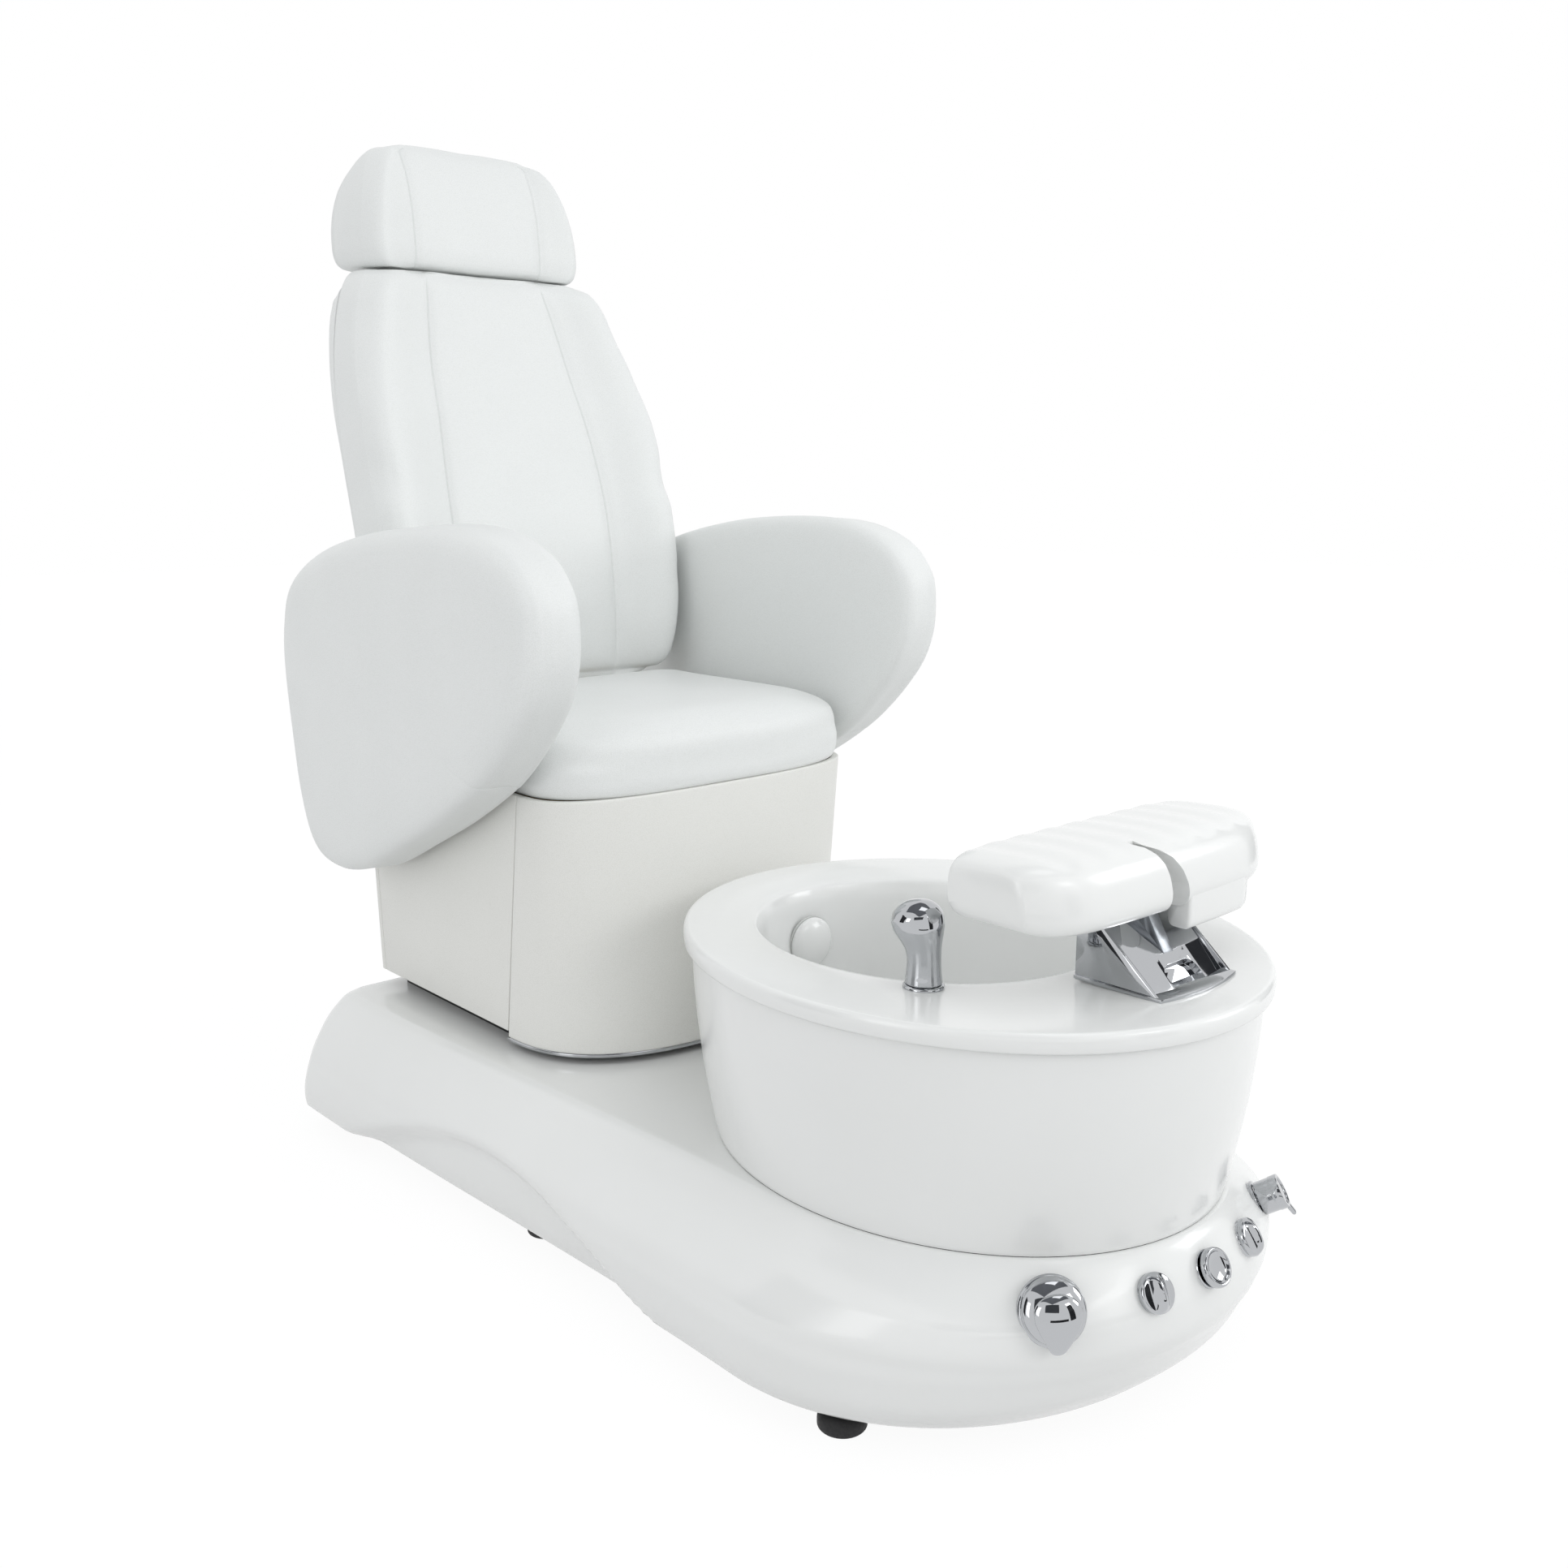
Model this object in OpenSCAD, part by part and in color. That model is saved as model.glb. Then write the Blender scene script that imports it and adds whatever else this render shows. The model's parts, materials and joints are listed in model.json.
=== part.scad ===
// Pedicure spa chair: an oval foot tub and a reclining seat on one moulded base.
// X is the sitter's left, Y runs from the tub to the backrest, Z is up. Millimetres.
// The origin is on the floor, in the middle of the chair's width and length.
// Outlines are half plans: each is drawn for X above zero and mirrored.

/* [Base] */
// Height of the deck that the seat and the tub stand on
deck_h = 200; // [180:1:240]
// Gap between the floor and the base's lower edge
floor_gap = 30; // [24:1:36]
// Largest half width of the base beside the tub
base_half = 352; // [345:1:380]
// Largest half width of the base at the seat's end
rear_half = 378; // [350:1:400]
// Length of the base in front of the tub's axis
nose_len = 344; // [335:1:380]
// Length of the base behind the tub's axis
rear_len = 964; // [930:1:1010]
// Wall of the moulded base
base_wall = 5; // [4:0.5:7]
// Depth of the arch pressed into each side of the base
arch_depth = 20; // [10:1:24]
// Height of that arch above the base's lower edge
arch_rise = 100; // [70:1:115]
// Side of the square frame tube
tube = 30; // [25:1:35]
// Radius of a levelling foot
foot_r = 26; // [20:1:30]

/* [Tub] */
// Distance of the tub's axis in front of the origin
tub_front = 387; // [375:1:400]
// Half width of the rim
rim_half = 297; // [280:1:310]
// Length of the oval tub over its width
oval = 1.171; // [1.1:0.01:1.2]
// Height of the rim's upper edge above the floor
rim_h = 444; // [420:1:480]
// Depth of the rim's band
rim_t = 20; // [16:1:26]
// How far the rim stands over the top of the skirt
rim_over = 8; // [5:1:20]
// How far the skirt draws in towards its foot
skirt_in = 25; // [20:1:40]
// Wall of the skirt and of the basin
tub_wall = 5; // [4:0.5:7]
// Half width of the basin's opening
basin_half = 186; // [170:1:196]
// Half length of the basin's opening
basin_long = 210; // [190:1:225]
// How far the opening lies behind the tub's axis
basin_back = 60; // [45:1:70]
// Depth of the basin below the rim
basin_depth = 212; // [190:1:216]
// Radius of the drain's bore through the basin floor
drain_r = 22; // [18:0.5:26]
// Outer radius of the waste pipe's end behind the base
waste_r = 25; // [20:0.5:25]
// Outer radius of the water inlets' threads
inlet_r = 10.48; // [8:0.01:13.2]

/* [Footrest] */
// Sideways offset of the footrest from the chair's middle
rest_x = 27; // [0:1:34]
// Width of the footrest pad
rest_w = 384; // [300:1:390]
// Height of the pad's tread above the rim
rest_up = 145; // [140:1:160]
// Number of flutes along the tread
rest_flutes = 8; // [4:1:9]
// Width of the cleft in the pad's front edge
cleft_w = 26; // [18:1:32]
// Width of the grip under the pad's left half
grip_w = 128; // [90:1:136]
// Width of the chrome bracket
bracket_w = 132; // [120:1:136]
// Radius of the pin that the footrest tilts on
rest_pin_r = 6; // [4:0.5:7]
// Distance of that pin behind the rim's front edge
rest_pin_in = 109.787; // [106:0.001:114]

/* [Controls] */
// Slope of the collar that the controls sit on, from upright
collar_slope = 30; // [20:1:40]
// Radius of the tap's dome
tap_r = 32; // [28:1:36]
// Radius of a control knob
knob_r = 20; // [16:1:23]
// Travel of the jet button
button_travel = 4; // [3:0.5:6]
// Radius of the hand spray
spray_r = 16; // [13:0.5:18]
// Angles of the five controls round the tub, from straight ahead
control_angles = [-35, -14.5, -0.5, 13.5, 31];

/* [Seat] */
// Half width of the seat box at the deck
box_foot = 250; // [240:1:254]
// Half width of the seat box under the cushion
box_top = 258; // [250:1:259]
// Height of the seat box's upper edge
box_h = 552; // [520:1:580]
// Gap between the deck and the seat box's panels
shadow_gap = 14; // [10:1:20]
// Thickness of a box panel
panel_t = 10; // [6:1:14]
// Y of the seat box's rear face
box_rear = 541; // [530:1:560]
// Thickness of the seat cushion at its edge
seat_t = 82; // [70:1:100]
// Extra height of the seat cushion's crown
seat_crown = 16; // [8:1:24]

/* [Back] */
// Lean of the backrest's board from upright
back_tilt = 15.5; // [13:0.5:17]
// Y of the recline pin
pivot_y = 497; // [493:1:501]
// Height of the recline pin above the seat box
pivot_up = 58; // [52:1:62]
// Radius of the recline pins
pivot_r = 8; // [6:0.5:10]
// Y of the board's front face at the cushion's lower edge
board_y = 500; // [497:1:505]
// Height of the backrest cushion's lower edge above the seat box
back_gap = 88; // [86:1:98]
// Height of the backrest cushion
back_h = 600; // [560:1:640]
// Radius of a headrest post
post_r = 6; // [5:0.5:6.5]
// Half distance between the headrest posts
post_half = 70; // [50:1:90]
// Height of the headrest
head_h = 180; // [150:1:200]

/* [Arms] */
// X of the arm board's inner face
arm_in = 261; // [260.5:0.5:264]
// Thickness of the arm board
arm_board_t = 8.7; // [6:0.1:10]
// X of the arm pad's outer face
arm_out = 346; // [335:1:352]
// Y of the arm's pivot
arm_y = 415; // [405:1:430]
// Depth of the arm's pivot below the seat box's top
arm_drop = 47; // [37:1:52]
// Radius of the arm's pivot bolt
arm_pin_r = 10; // [8:0.5:12]

/* [Hidden] */
$fn = 48;
fit = 0.05;                       // radial clearance of a running fit
slip = 0.4;                       // gap between faces that move past each other
tub_y = -tub_front;
skirt_top = rim_half - rim_over;
skirt_foot = skirt_top - skirt_in;
rest_pin_front = rim_half * oval - rest_pin_in;
pivot_z = box_h + pivot_up;
back_foot = box_h + back_gap;
back_head = back_foot + back_h;
arm_z = box_h - arm_drop;
seam = deck_h;                    // the skirt stands here on its gasket
gasket_t = 2;
rail_x = 284;                     // the frame's side rails and their feet
rail_z = 40;                      // underside of the frame
front_cross = tub_y - 110;
rear_cross = rear_len - tub_front - 70;
mid_cross = 55;
stud_r = 6;
foot_h = 22;
basin_floor = rim_h - basin_depth;
post_x = 205;                     // the seat frame's uprights
post_front = 160;
post_rear = 505;
seat_tube = 25;

gelcoat = "#f4f5f3";
vinyl = "#e6e8e5";
chrome = "#c9ccd0";
steel = "#8f959b";
rubber = "#1c1c1e";
plastic = "#3a3c40";
pale = "#d9dbd8";
wood = "#c9a878";

// ---------------------------------------------------------------- helpers
function mix(a, b, t) = a + (b - a) * t;
function clamp01(t) = min(max(t, 0), 1);
function ease(t) = let (c = clamp01(t)) c * c * (3 - 2 * c);
function power(v, p) = sign(v) * pow(abs(v), p);
function mid(ring) = [for (k = [0:2]) [for (p = ring) p[k]] * [for (p = ring) 1] / len(ring)];
// Catmull-Rom curve through closed control points, n points to a span
function closed_curve(pts, n) = let (c = len(pts)) [
    for (i = [0:c - 1], j = [0:n - 1])
        let (t = j / n, a = pts[(i + c - 1) % c], b = pts[i], d = pts[(i + 1) % c], e = pts[(i + 2) % c])
            0.5 * (2 * b + (d - a) * t + (2 * a - 5 * b + 4 * d - e) * t * t
                + (3 * b - a - 3 * d + e) * t * t * t)
];
// A half outline for X from zero up, from rear to front, closed by its mirror image
function both_sides(half) = concat(
    [for (i = [len(half) - 1:-1:0]) half[i]], [for (p = half) if (p.x > 0.05) [-p.x, p.y, p.z]]);

// Closed body through rings of equal length, with a fan at each end
module skin(rings) {
    n = len(rings[0]);
    m = len(rings);
    points = concat([for (r = rings) each r], [mid(rings[0]), mid(rings[m - 1])]);
    sides = [
        for (j = [0:m - 2], i = [0:n - 1])
            let (a = j * n + i, b = j * n + (i + 1) % n) each [[a, a + n, b], [b, a + n, b + n]]
    ];
    first = [for (i = [0:n - 1]) [i, (i + 1) % n, m * n]];
    last = [for (i = [0:n - 1]) [(m - 1) * n + i, m * n + 1, (m - 1) * n + (i + 1) % n]];
    polyhedron(points, concat(sides, first, last), convexity = 8);
}

// Open sheet of even wall: matching grids of points for its two faces
module sheet(outer, inner) {
    m = len(outer);
    n = len(outer[0]);
    k = m * n;
    points = concat([for (r = outer) each r], [for (r = inner) each r]);
    faces = concat(
        [for (j = [0:m - 2], i = [0:n - 2]) let (a = j * n + i) each
            [[a, a + n, a + 1], [a + 1, a + n, a + n + 1],
             [k + a, k + a + 1, k + a + n], [k + a + 1, k + a + n + 1, k + a + n]]],
        [for (i = [0:n - 2]) each [[i, i + 1, k + i], [i + 1, k + i + 1, k + i]]],
        [for (i = [0:n - 2]) let (a = (m - 1) * n + i) each [[a, k + a, a + 1], [a + 1, k + a, k + a + 1]]],
        [for (j = [0:m - 2]) let (a = j * n) each [[a, k + a, a + n], [a + n, k + a, k + a + n]]],
        [for (j = [0:m - 2]) let (a = j * n + n - 1) each [[a, a + n, k + a], [a + n, k + a + n, k + a]]]
    );
    polyhedron(points, faces, convexity = 8);
}

module both() {
    children();
    mirror([1, 0, 0]) children();
}

// Square-ended bar between two corners
module bar(a, b) {
    translate([min(a.x, b.x), min(a.y, b.y), min(a.z, b.z)])
        cube([abs(b.x - a.x), abs(b.y - a.y), abs(b.z - a.z)]);
}

// Rod along X
module rod_x(r, x0, x1, y, z) {
    translate([x0, y, z]) rotate([0, 90, 0]) cylinder(r = r, h = x1 - x0);
}

// Flat plate with round corners
module plate(w, l, t, r) {
    linear_extrude(t) union() {
        square([w - 2 * r, l], center = true);
        square([w, l - 2 * r], center = true);
        for (x = [-1, 1], y = [-1, 1]) translate([x * (w / 2 - r), y * (l / 2 - r)]) circle(r);
    }
}

// Ring seen in a plane X-Z profile turned into the tub's oval
module oval_turn() {
    translate([0, tub_y, 0]) scale([1, oval, 1]) rotate_extrude($fn = 96) children();
}

// ---------------------------------------------------------------- base
// Rows of [share of the deck's height, inset of nose, beside the tub, of rear side, of rear end]
base_rows = [
    [0.00, 56, 12, 8, 1], [0.04, 49, 5, 2, 0], [0.18, 27, 0, 0, 2], [0.35, 13, 0, 4, 6],
    [0.44, 4, 3, 8, 8], [0.53, 0, 7, 12, 11], [0.70, 2, 27, 24, 17], [0.81, 8, 44, 35, 20],
    [0.91, 18, 64, 49, 24], [0.975, 26, 77, 61, 28], [1.00, 31, 84, 72, 33]
];
function base_inset(s, k) = lookup(s, [for (r = base_rows) [r[0], r[k]]]);
// The shelf that carries the controls fills the nose out: an exponent below one
function nose_power(s) = 1 - 0.1 * max(0, 1 - abs(s - 0.72) / 0.25);
arch_front = 120;
arch_len = 710;
function arch_at(y, z) = let (
        u = (y - tub_y - arch_front) / arch_len,
        top = floor_gap + arch_rise * (u > 0 && u < 1 ? sin(180 * u) : 0)
    ) arch_depth * ease((top - z) / 30);
rear_corner = 26;
function base_ring(s, wall) = let (
        z = mix(floor_gap, deck_h, s),
        e = nose_power(s),
        nose = nose_len - base_inset(s, 1) - wall,
        side = base_half - base_inset(s, 2) - wall,
        back = rear_half - base_inset(s, 3) - wall,
        end = tub_y + rear_len - base_inset(s, 4) - wall,
        corner = [for (a = [90:-18:0]) [back - rear_corner + rear_corner * cos(a),
            end - rear_corner + rear_corner * sin(a), z]],
        flank = [for (i = [1:14]) let (y = mix(end - rear_corner, tub_y, i / 15))
            [mix(back, side, ease(i / 15)) - arch_at(y, z), y, z]],
        front = [for (a = [0:7.5:90])
            [a > 89 ? 0 : side * power(cos(a), e), tub_y - nose * power(sin(a), e), z]]
    ) both_sides(concat(corner, flank, front));

// Puts children on the collar at an angle round the tub, their Z pointing out of it
collar_s = 0.81;
collar_a = base_half - base_inset(collar_s, 2);
collar_b = nose_len - base_inset(collar_s, 1);
collar_e = nose_power(collar_s);
function collar_xy(angle) = [
    collar_a * power(sin(angle), collar_e), tub_y - collar_b * power(cos(angle), collar_e)];
function collar_yaw(angle) = atan2(
    power(sin(angle), 2 - collar_e) / collar_a, power(cos(angle), 2 - collar_e) / collar_b);
module on_collar(angle, sink) {
    p = collar_xy(angle);
    translate([p.x, p.y, mix(floor_gap, deck_h, collar_s)])
        rotate([0, 0, collar_yaw(angle)]) rotate([90 - collar_slope, 0, 0])
            translate([0, 0, -sink]) children();
}
tap_at = control_angles[0];
spray_at = control_angles[4];
knob_at = [control_angles[1], control_angles[2], control_angles[3]];
seat_sink = 2.5;                  // depth of the flat that each control sits on
bezel_r = knob_r + 2.5;
tap_shank = 20;
knob_shank = 9;
spray_guide = spray_r + 4;

module base_shell() {
    color(gelcoat) difference() {
        skin([for (r = base_rows) base_ring(r[0], 0)]);
        skin(concat(
            [base_ring(-0.02, base_wall)],
            [for (s = [0.18, 0.35, 0.44, 0.53, 0.7, 0.81, 0.91]) base_ring(s, base_wall)],
            [[for (p = base_ring(0.975, base_wall)) [p.x, p.y, deck_h - base_wall]]]));
        translate([0, tub_y, deck_h - 20]) scale([1, oval, 1])
            cylinder(r = skirt_foot - 62, h = 40, $fn = 72);
        on_collar(tap_at, seat_sink) cylinder(r = tap_r + 3, h = 40);
        on_collar(tap_at, 30) cylinder(r = tap_shank + 0.5, h = 40);
        for (a = knob_at) {
            on_collar(a, seat_sink) cylinder(r = bezel_r + 0.5, h = 40);
            on_collar(a, 30) cylinder(r = knob_shank + 0.5, h = 40);
        }
        on_collar(spray_at, seat_sink) cylinder(r = spray_guide + 4, h = 40);
        on_collar(spray_at, 30) cylinder(r = spray_guide + 0.5, h = 40);
        for (x = inlet_rows) service(x) {
            cylinder(r = inlet_r + slip, h = 60);
            translate([0, 0, 30 + seat_sink]) cylinder(r = inlet_r + 8.5, h = 60);
        }
        service(0) cylinder(r = waste_r + 2, h = 60);
        service(cable_x) {
            cylinder(r = 8.5, h = 60);
            translate([0, 0, 30 + seat_sink]) cylinder(r = 15, h = 60);
        }
    }
}
// Puts children on the base's rear wall, their Z pointing out of it
service_z = 122;
inlet_rows = [-90, 90];
cable_x = -200;
function service_y() = tub_y + rear_len - base_inset((service_z - floor_gap) / (deck_h - floor_gap), 4);
module service(x) {
    translate([x, service_y() - 36, service_z]) rotate([-90, 0, 0]) children();
}

function frame_top() = rail_z + tube;
module base_frame() {
    color(steel) {
        both() bar([rail_x - tube / 2, front_cross, rail_z], [rail_x + tube / 2, rear_cross, frame_top()]);
        for (y = [front_cross, mid_cross, rear_cross])
            bar([-rail_x, y - tube / 2, rail_z], [rail_x, y + tube / 2, frame_top()]);
        bar([-tube / 2, tub_y - 285, rail_z], [tube / 2, front_cross, frame_top()]);
        bar([-tube / 2, tub_y - 285, rail_z], [tube / 2, tub_y - 285 + tube, deck_h - base_wall]);
        both() {
            bar([rail_x - 60, tub_y - 15, rail_z], [rail_x - 60 + tube, tub_y + 15, deck_h - base_wall]);
            bar([rail_x - 60, tub_y - 15, rail_z], [rail_x, tub_y + 15, frame_top()]);
            for (y = [post_front, post_rear]) {
                bar([post_x - tube / 2, y - tube / 2, rail_z],
                    [post_x + tube / 2, y + tube / 2, deck_h - base_wall]);
                bar([post_x, y - tube / 2, rail_z], [rail_x, y + tube / 2, frame_top()]);
            }
            for (y = foot_rows) translate([rail_x, y, rail_z - 6]) cylinder(r = 11, h = 7, $fn = 6);
        }
    }
}
foot_rows = [tub_y - 98, mid_cross, rear_cross - 10];

module foot_studs() {
    color(chrome) both() for (y = foot_rows) translate([rail_x, y, 8]) {
        cylinder(r = stud_r, h = rail_z - 14);
        translate([0, 0, 14.5]) cylinder(r = 10, h = 6, $fn = 6);
    }
}
module foot_pads() {
    color(rubber) both() for (y = foot_rows) translate([rail_x, y, 0]) difference() {
        rotate_extrude() polygon([[0, 0], [foot_r - 2, 0], [foot_r, 2], [foot_r, 9],
            for (a = [0:15:75]) [foot_r * 0.55 + foot_r * 0.45 * cos(a), 9 + (foot_h - 9) * sin(a)],
            [foot_r * 0.5, foot_h], [0, foot_h]]);
        translate([0, 0, 8]) cylinder(r = stud_r, h = foot_h);
    }
}
module deck_plinth() {
    color(plastic) translate([0, 0, deck_h]) difference() {
        linear_extrude(shadow_gap) polygon(concat(
            [[box_foot - 26, box_rear - 24], [-box_foot + 26, box_rear - 24]],
            [for (a = [180:-15:0])
                [(box_foot - 26) * cos(a), box_side_y(0) - (box_bow(0) - 26) * sin(a)]]));
        translate([0, 0, -1]) linear_extrude(shadow_gap + 2)
            polygon([[150, 445], [-150, 445], [-150, 225], [150, 225]]);
    }
}
module inlet_unions() {
    color(chrome) for (x = inlet_rows) service(x) difference() {
        union() {
            cylinder(r = inlet_r, h = 62);
            translate([0, 0, 30 + seat_sink]) cylinder(r = inlet_r + 6.5, h = 6, $fn = 6);
            translate([0, 0, 30 + seat_sink - base_wall - 8]) cylinder(r = inlet_r + 6.5, h = 8, $fn = 6);
        }
        translate([0, 0, -1]) cylinder(r = inlet_r - 3.5, h = 80);
    }
}
module cable_gland() {
    color(plastic) service(cable_x) difference() {
        union() {
            cylinder(r = 8.4, h = 46);
            translate([0, 0, 30 + seat_sink]) cylinder(r = 13, h = 6, $fn = 6);
            translate([0, 0, 30 + seat_sink - base_wall - 6]) cylinder(r = 13, h = 6, $fn = 6);
            translate([0, 0, 44]) cylinder(r1 = 10, r2 = 7, h = 12);
        }
        translate([0, 0, -1]) cylinder(r = 4, h = 80);
    }
}

// ---------------------------------------------------------------- tub
skirt_h = rim_h - rim_t - seam - gasket_t;
skirt_bulge = 5;
function skirt_r(t) = mix(skirt_foot, skirt_top, t) + skirt_bulge * sin(180 * t);
module tub_skirt() {
    steps = 8;
    color(gelcoat) translate([0, 0, seam + gasket_t]) oval_turn() polygon(concat(
        [for (i = [0:steps]) [skirt_r(i / steps), skirt_h * i / steps]],
        [for (i = [steps:-1:0]) [skirt_r(i / steps) - tub_wall, skirt_h * i / steps]]));
}
module tub_gasket() {
    color(plastic) translate([0, 0, seam]) oval_turn()
        translate([skirt_foot - 12, 0]) square([11, gasket_t]);
}
function oval_ring(a, b, y, z) = [for (i = [0:59]) [a * cos(i * 6), tub_y + y + b * sin(i * 6), z]];
// From the rim's edge (0) to the edge of the opening (1)
function lip_ring(t, z) = oval_ring(mix(rim_half, basin_half, t), mix(rim_half * oval, basin_long, t),
    basin_back * ease((t - 0.15) / 0.85), z);
function bowl_ring(inset, z) = oval_ring(basin_half - inset, basin_long - inset, basin_back, z);
lip_h = rim_h - 10;               // edge of the opening
// Rows of [height above the basin floor, inset of the wall]
bowl_rows = [[0, 96], [5, 66], [20, 42], [58, 24], [125, 11], [lip_h - basin_floor - 14, 5]];
bowl_up = [for (i = [len(bowl_rows) - 1:-1:0]) bowl_rows[i]];
// Rows of [way from the rim's edge to the opening, depth below the rim]
rim_rows = [
    [0.126, rim_t], [0.008, rim_t], [0, rim_t - 1.5], [0, 7], [0.006, 3.5], [0.02, 1], [0.05, 0],
    [0.25, 0.5], [0.5, 2], [0.8, 5], [0.95, 7.5], [1, 10]
];
jet_z = basin_floor + 136;
jet_y = tub_y + basin_back + basin_long;
jet_bore = 26;
spout_xy = [-168, tub_y - 92];
rest_y = tub_y - rest_pin_front;
rest_seat = rim_h - 6;            // flat that the bracket stands on
bolt_rows = [rest_y - 26, rest_y + 36];
module tub_basin() {
    band = rim_h - rim_t;
    color(gelcoat) difference() {
        union() {
            skin(concat(
                [for (r = bowl_rows) bowl_ring(r[1] - tub_wall, basin_floor - tub_wall + r[0])],
                [bowl_ring(-tub_wall - 2, band + 3), lip_ring(0.85, band + 6), lip_ring(0.14, band + 6)],
                [for (r = rim_rows) lip_ring(r[0], rim_h - r[1])],
                [bowl_ring(3, lip_h - 5)],
                [for (r = bowl_up) bowl_ring(r[1], basin_floor + r[0])]));
            translate([0, jet_y - 13, jet_z]) rotate([-90, 0, 0]) cylinder(r = jet_bore + 12, h = 21);
        }
        translate([0, drain_y, basin_floor - 40]) cylinder(r = drain_r, h = 60);
        translate([0, jet_y - 60, jet_z]) rotate([-90, 0, 0]) cylinder(r = jet_bore, h = 90);
        translate([0, jet_y - 70, jet_z]) rotate([-90, 0, 0]) cylinder(r = jet_bore + 13, h = 58);
        translate([spout_xy.x, spout_xy.y, rim_h - 60]) cylinder(r = 11, h = 90);
        translate([spout_xy.x, spout_xy.y, spout_seat]) cylinder(r = 22, h = 30);
        bar([rest_x - bracket_w / 2 - 0.5, rest_y - 56.5, rest_seat],
            [rest_x + bracket_w / 2 + 0.5, rest_y + 55.5, rim_h + 9]);
        for (x = [-40, 40], y = bolt_rows) translate([rest_x + x, y, rim_h - 60]) cylinder(r = 4.2, h = 90);
    }
}
drain_y = tub_y + basin_back;
module drain_body() {
    color(plastic) translate([0, drain_y, 0]) difference() {
        union() {
            translate([0, 0, basin_floor - tub_wall - 8]) cylinder(r = drain_r + 12, h = 8);
            translate([0, 0, basin_floor - 62]) cylinder(r = drain_r - 0.5, h = 60);
        }
        translate([0, 0, basin_floor - 70]) cylinder(r = drain_r - 4, h = 80);
    }
}
module drain_strainer() {
    color(chrome) translate([0, drain_y, basin_floor - 2]) difference() {
        union() {
            translate([0, 0, 2]) rotate_extrude()
                polygon([[0, 0], [drain_r + 9, 0], [drain_r + 8, 2], [drain_r, 3.5], [0, 3.5]]);
            cylinder(r = drain_r - 0.6, h = 3);
        }
        for (a = [0:45:315]) rotate([0, 0, a]) translate([15, 0, -2]) cylinder(r = 3, h = 12, $fn = 24);
        translate([0, 0, -2]) cylinder(r = stopper_r + fit, h = 12);
    }
}
stopper_r = 5;
stopper_lift = 8;
module drain_stopper() {
    color(chrome) translate([0, drain_y, basin_floor + 3.5]) union() {
        translate([0, 0, slip]) rotate_extrude()
            polygon([[0, 0], [drain_r - 4, 0], [drain_r - 2, 1.5], [drain_r - 6, 4], [0, 5.5]]);
        translate([0, 0, -34]) cylinder(r = stopper_r, h = 35);
    }
}
module drain_elbow() {
    low = service_z;
    color(pale) difference() {
        union() {
            translate([0, drain_y, low - drain_r - 8])
                cylinder(r = drain_r + 3, h = basin_floor - 40 - low + drain_r + 8);
            translate([0, drain_y, low]) rotate([-90, 0, 0])
                cylinder(r = waste_r + 1, h = service_y() + 2 - drain_y);
            translate([0, service_y() - 8, low]) rotate([-90, 0, 0]) cylinder(r = waste_r, h = 34);
        }
        translate([0, drain_y, basin_floor - 62]) cylinder(r = drain_r - 0.5, h = 90);
        translate([0, drain_y, low - drain_r - 4]) cylinder(r = drain_r - 2, h = 100);
        translate([0, drain_y, low]) rotate([-90, 0, 0])
            cylinder(r = waste_r - 4, h = service_y() + 100 - drain_y);
    }
}
shaft_r = 3;
module jet_housing() {
    color(pale) translate([0, jet_y - 12, jet_z]) rotate([-90, 0, 0]) difference() {
        union() {
            translate([0, 0, 0]) cylinder(r = jet_bore - 0.4, h = 46);
            translate([0, 0, -3]) cylinder(r = jet_bore + 8, h = 3);
        }
        translate([0, 0, -4]) cylinder(r = jet_bore - 4, h = 40);
        translate([0, 0, -4]) cylinder(r = shaft_r + fit, h = 60);
    }
}
module jet_motor() {
    color(plastic) translate([0, jet_y + 34.3, jet_z]) rotate([-90, 0, 0]) difference() {
        cylinder(r = 24, h = 20);
        translate([0, 0, -1]) cylinder(r = shaft_r + fit, h = 20);
    }
}
module jet_impeller() {
    color(pale) translate([0, jet_y - 8, jet_z]) rotate([-90, 0, 0]) {
        difference() {
            cylinder(r = 9, h = 16);
            translate([0, 0, 6]) cylinder(r = shaft_r - 0.1, h = 20);
        }
        for (a = [0:60:300]) rotate([0, 0, a]) translate([7, -1, 2]) cube([jet_bore - 14, 2, 12]);
        translate([0, 0, 6]) cylinder(r = shaft_r, h = 44);
    }
}
module jet_cover() {
    color(gelcoat) translate([0, jet_y - 15.4, jet_z]) rotate([90, 0, 0]) difference() {
        rotate_extrude() polygon([[0, 0], [jet_bore + 7, 0], [jet_bore + 7, 2],
            for (a = [0:15:90]) [4 + (jet_bore + 3) * cos(a) - 4 * sin(a), 2 + 12 * sin(a)]]);
        translate([0, 0, -1]) cylinder(r = jet_bore - 2, h = 9);
        for (a = [0:45:315]) rotate([0, 0, a]) translate([13, 0, 2]) cylinder(r = 3.2, h = 20, $fn = 24);
    }
}

// ---------------------------------------------------------------- spout
spout_seat = rim_h - 4;
spout_lean = 14;
module spout_base() {
    color(chrome) translate([spout_xy.x, spout_xy.y, 0]) difference() {
        union() {
            translate([0, 0, spout_seat]) rotate_extrude()
                polygon([[0, 0], [21.5, 0], [21.5, 2], [20, 4], [0, 4]]);
            translate([0, 0, spout_seat - 52]) cylinder(r = 10.4, h = 53);
            translate([0, 0, rim_h - rim_t - 7]) cylinder(r = 18, h = 9, $fn = 6);
        }
        translate([0, 0, spout_seat - 60]) cylinder(r = 6, h = 90);
        translate([0, 0, spout_seat - 14]) cylinder(r = 8 + fit, h = 30);
    }
}
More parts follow.
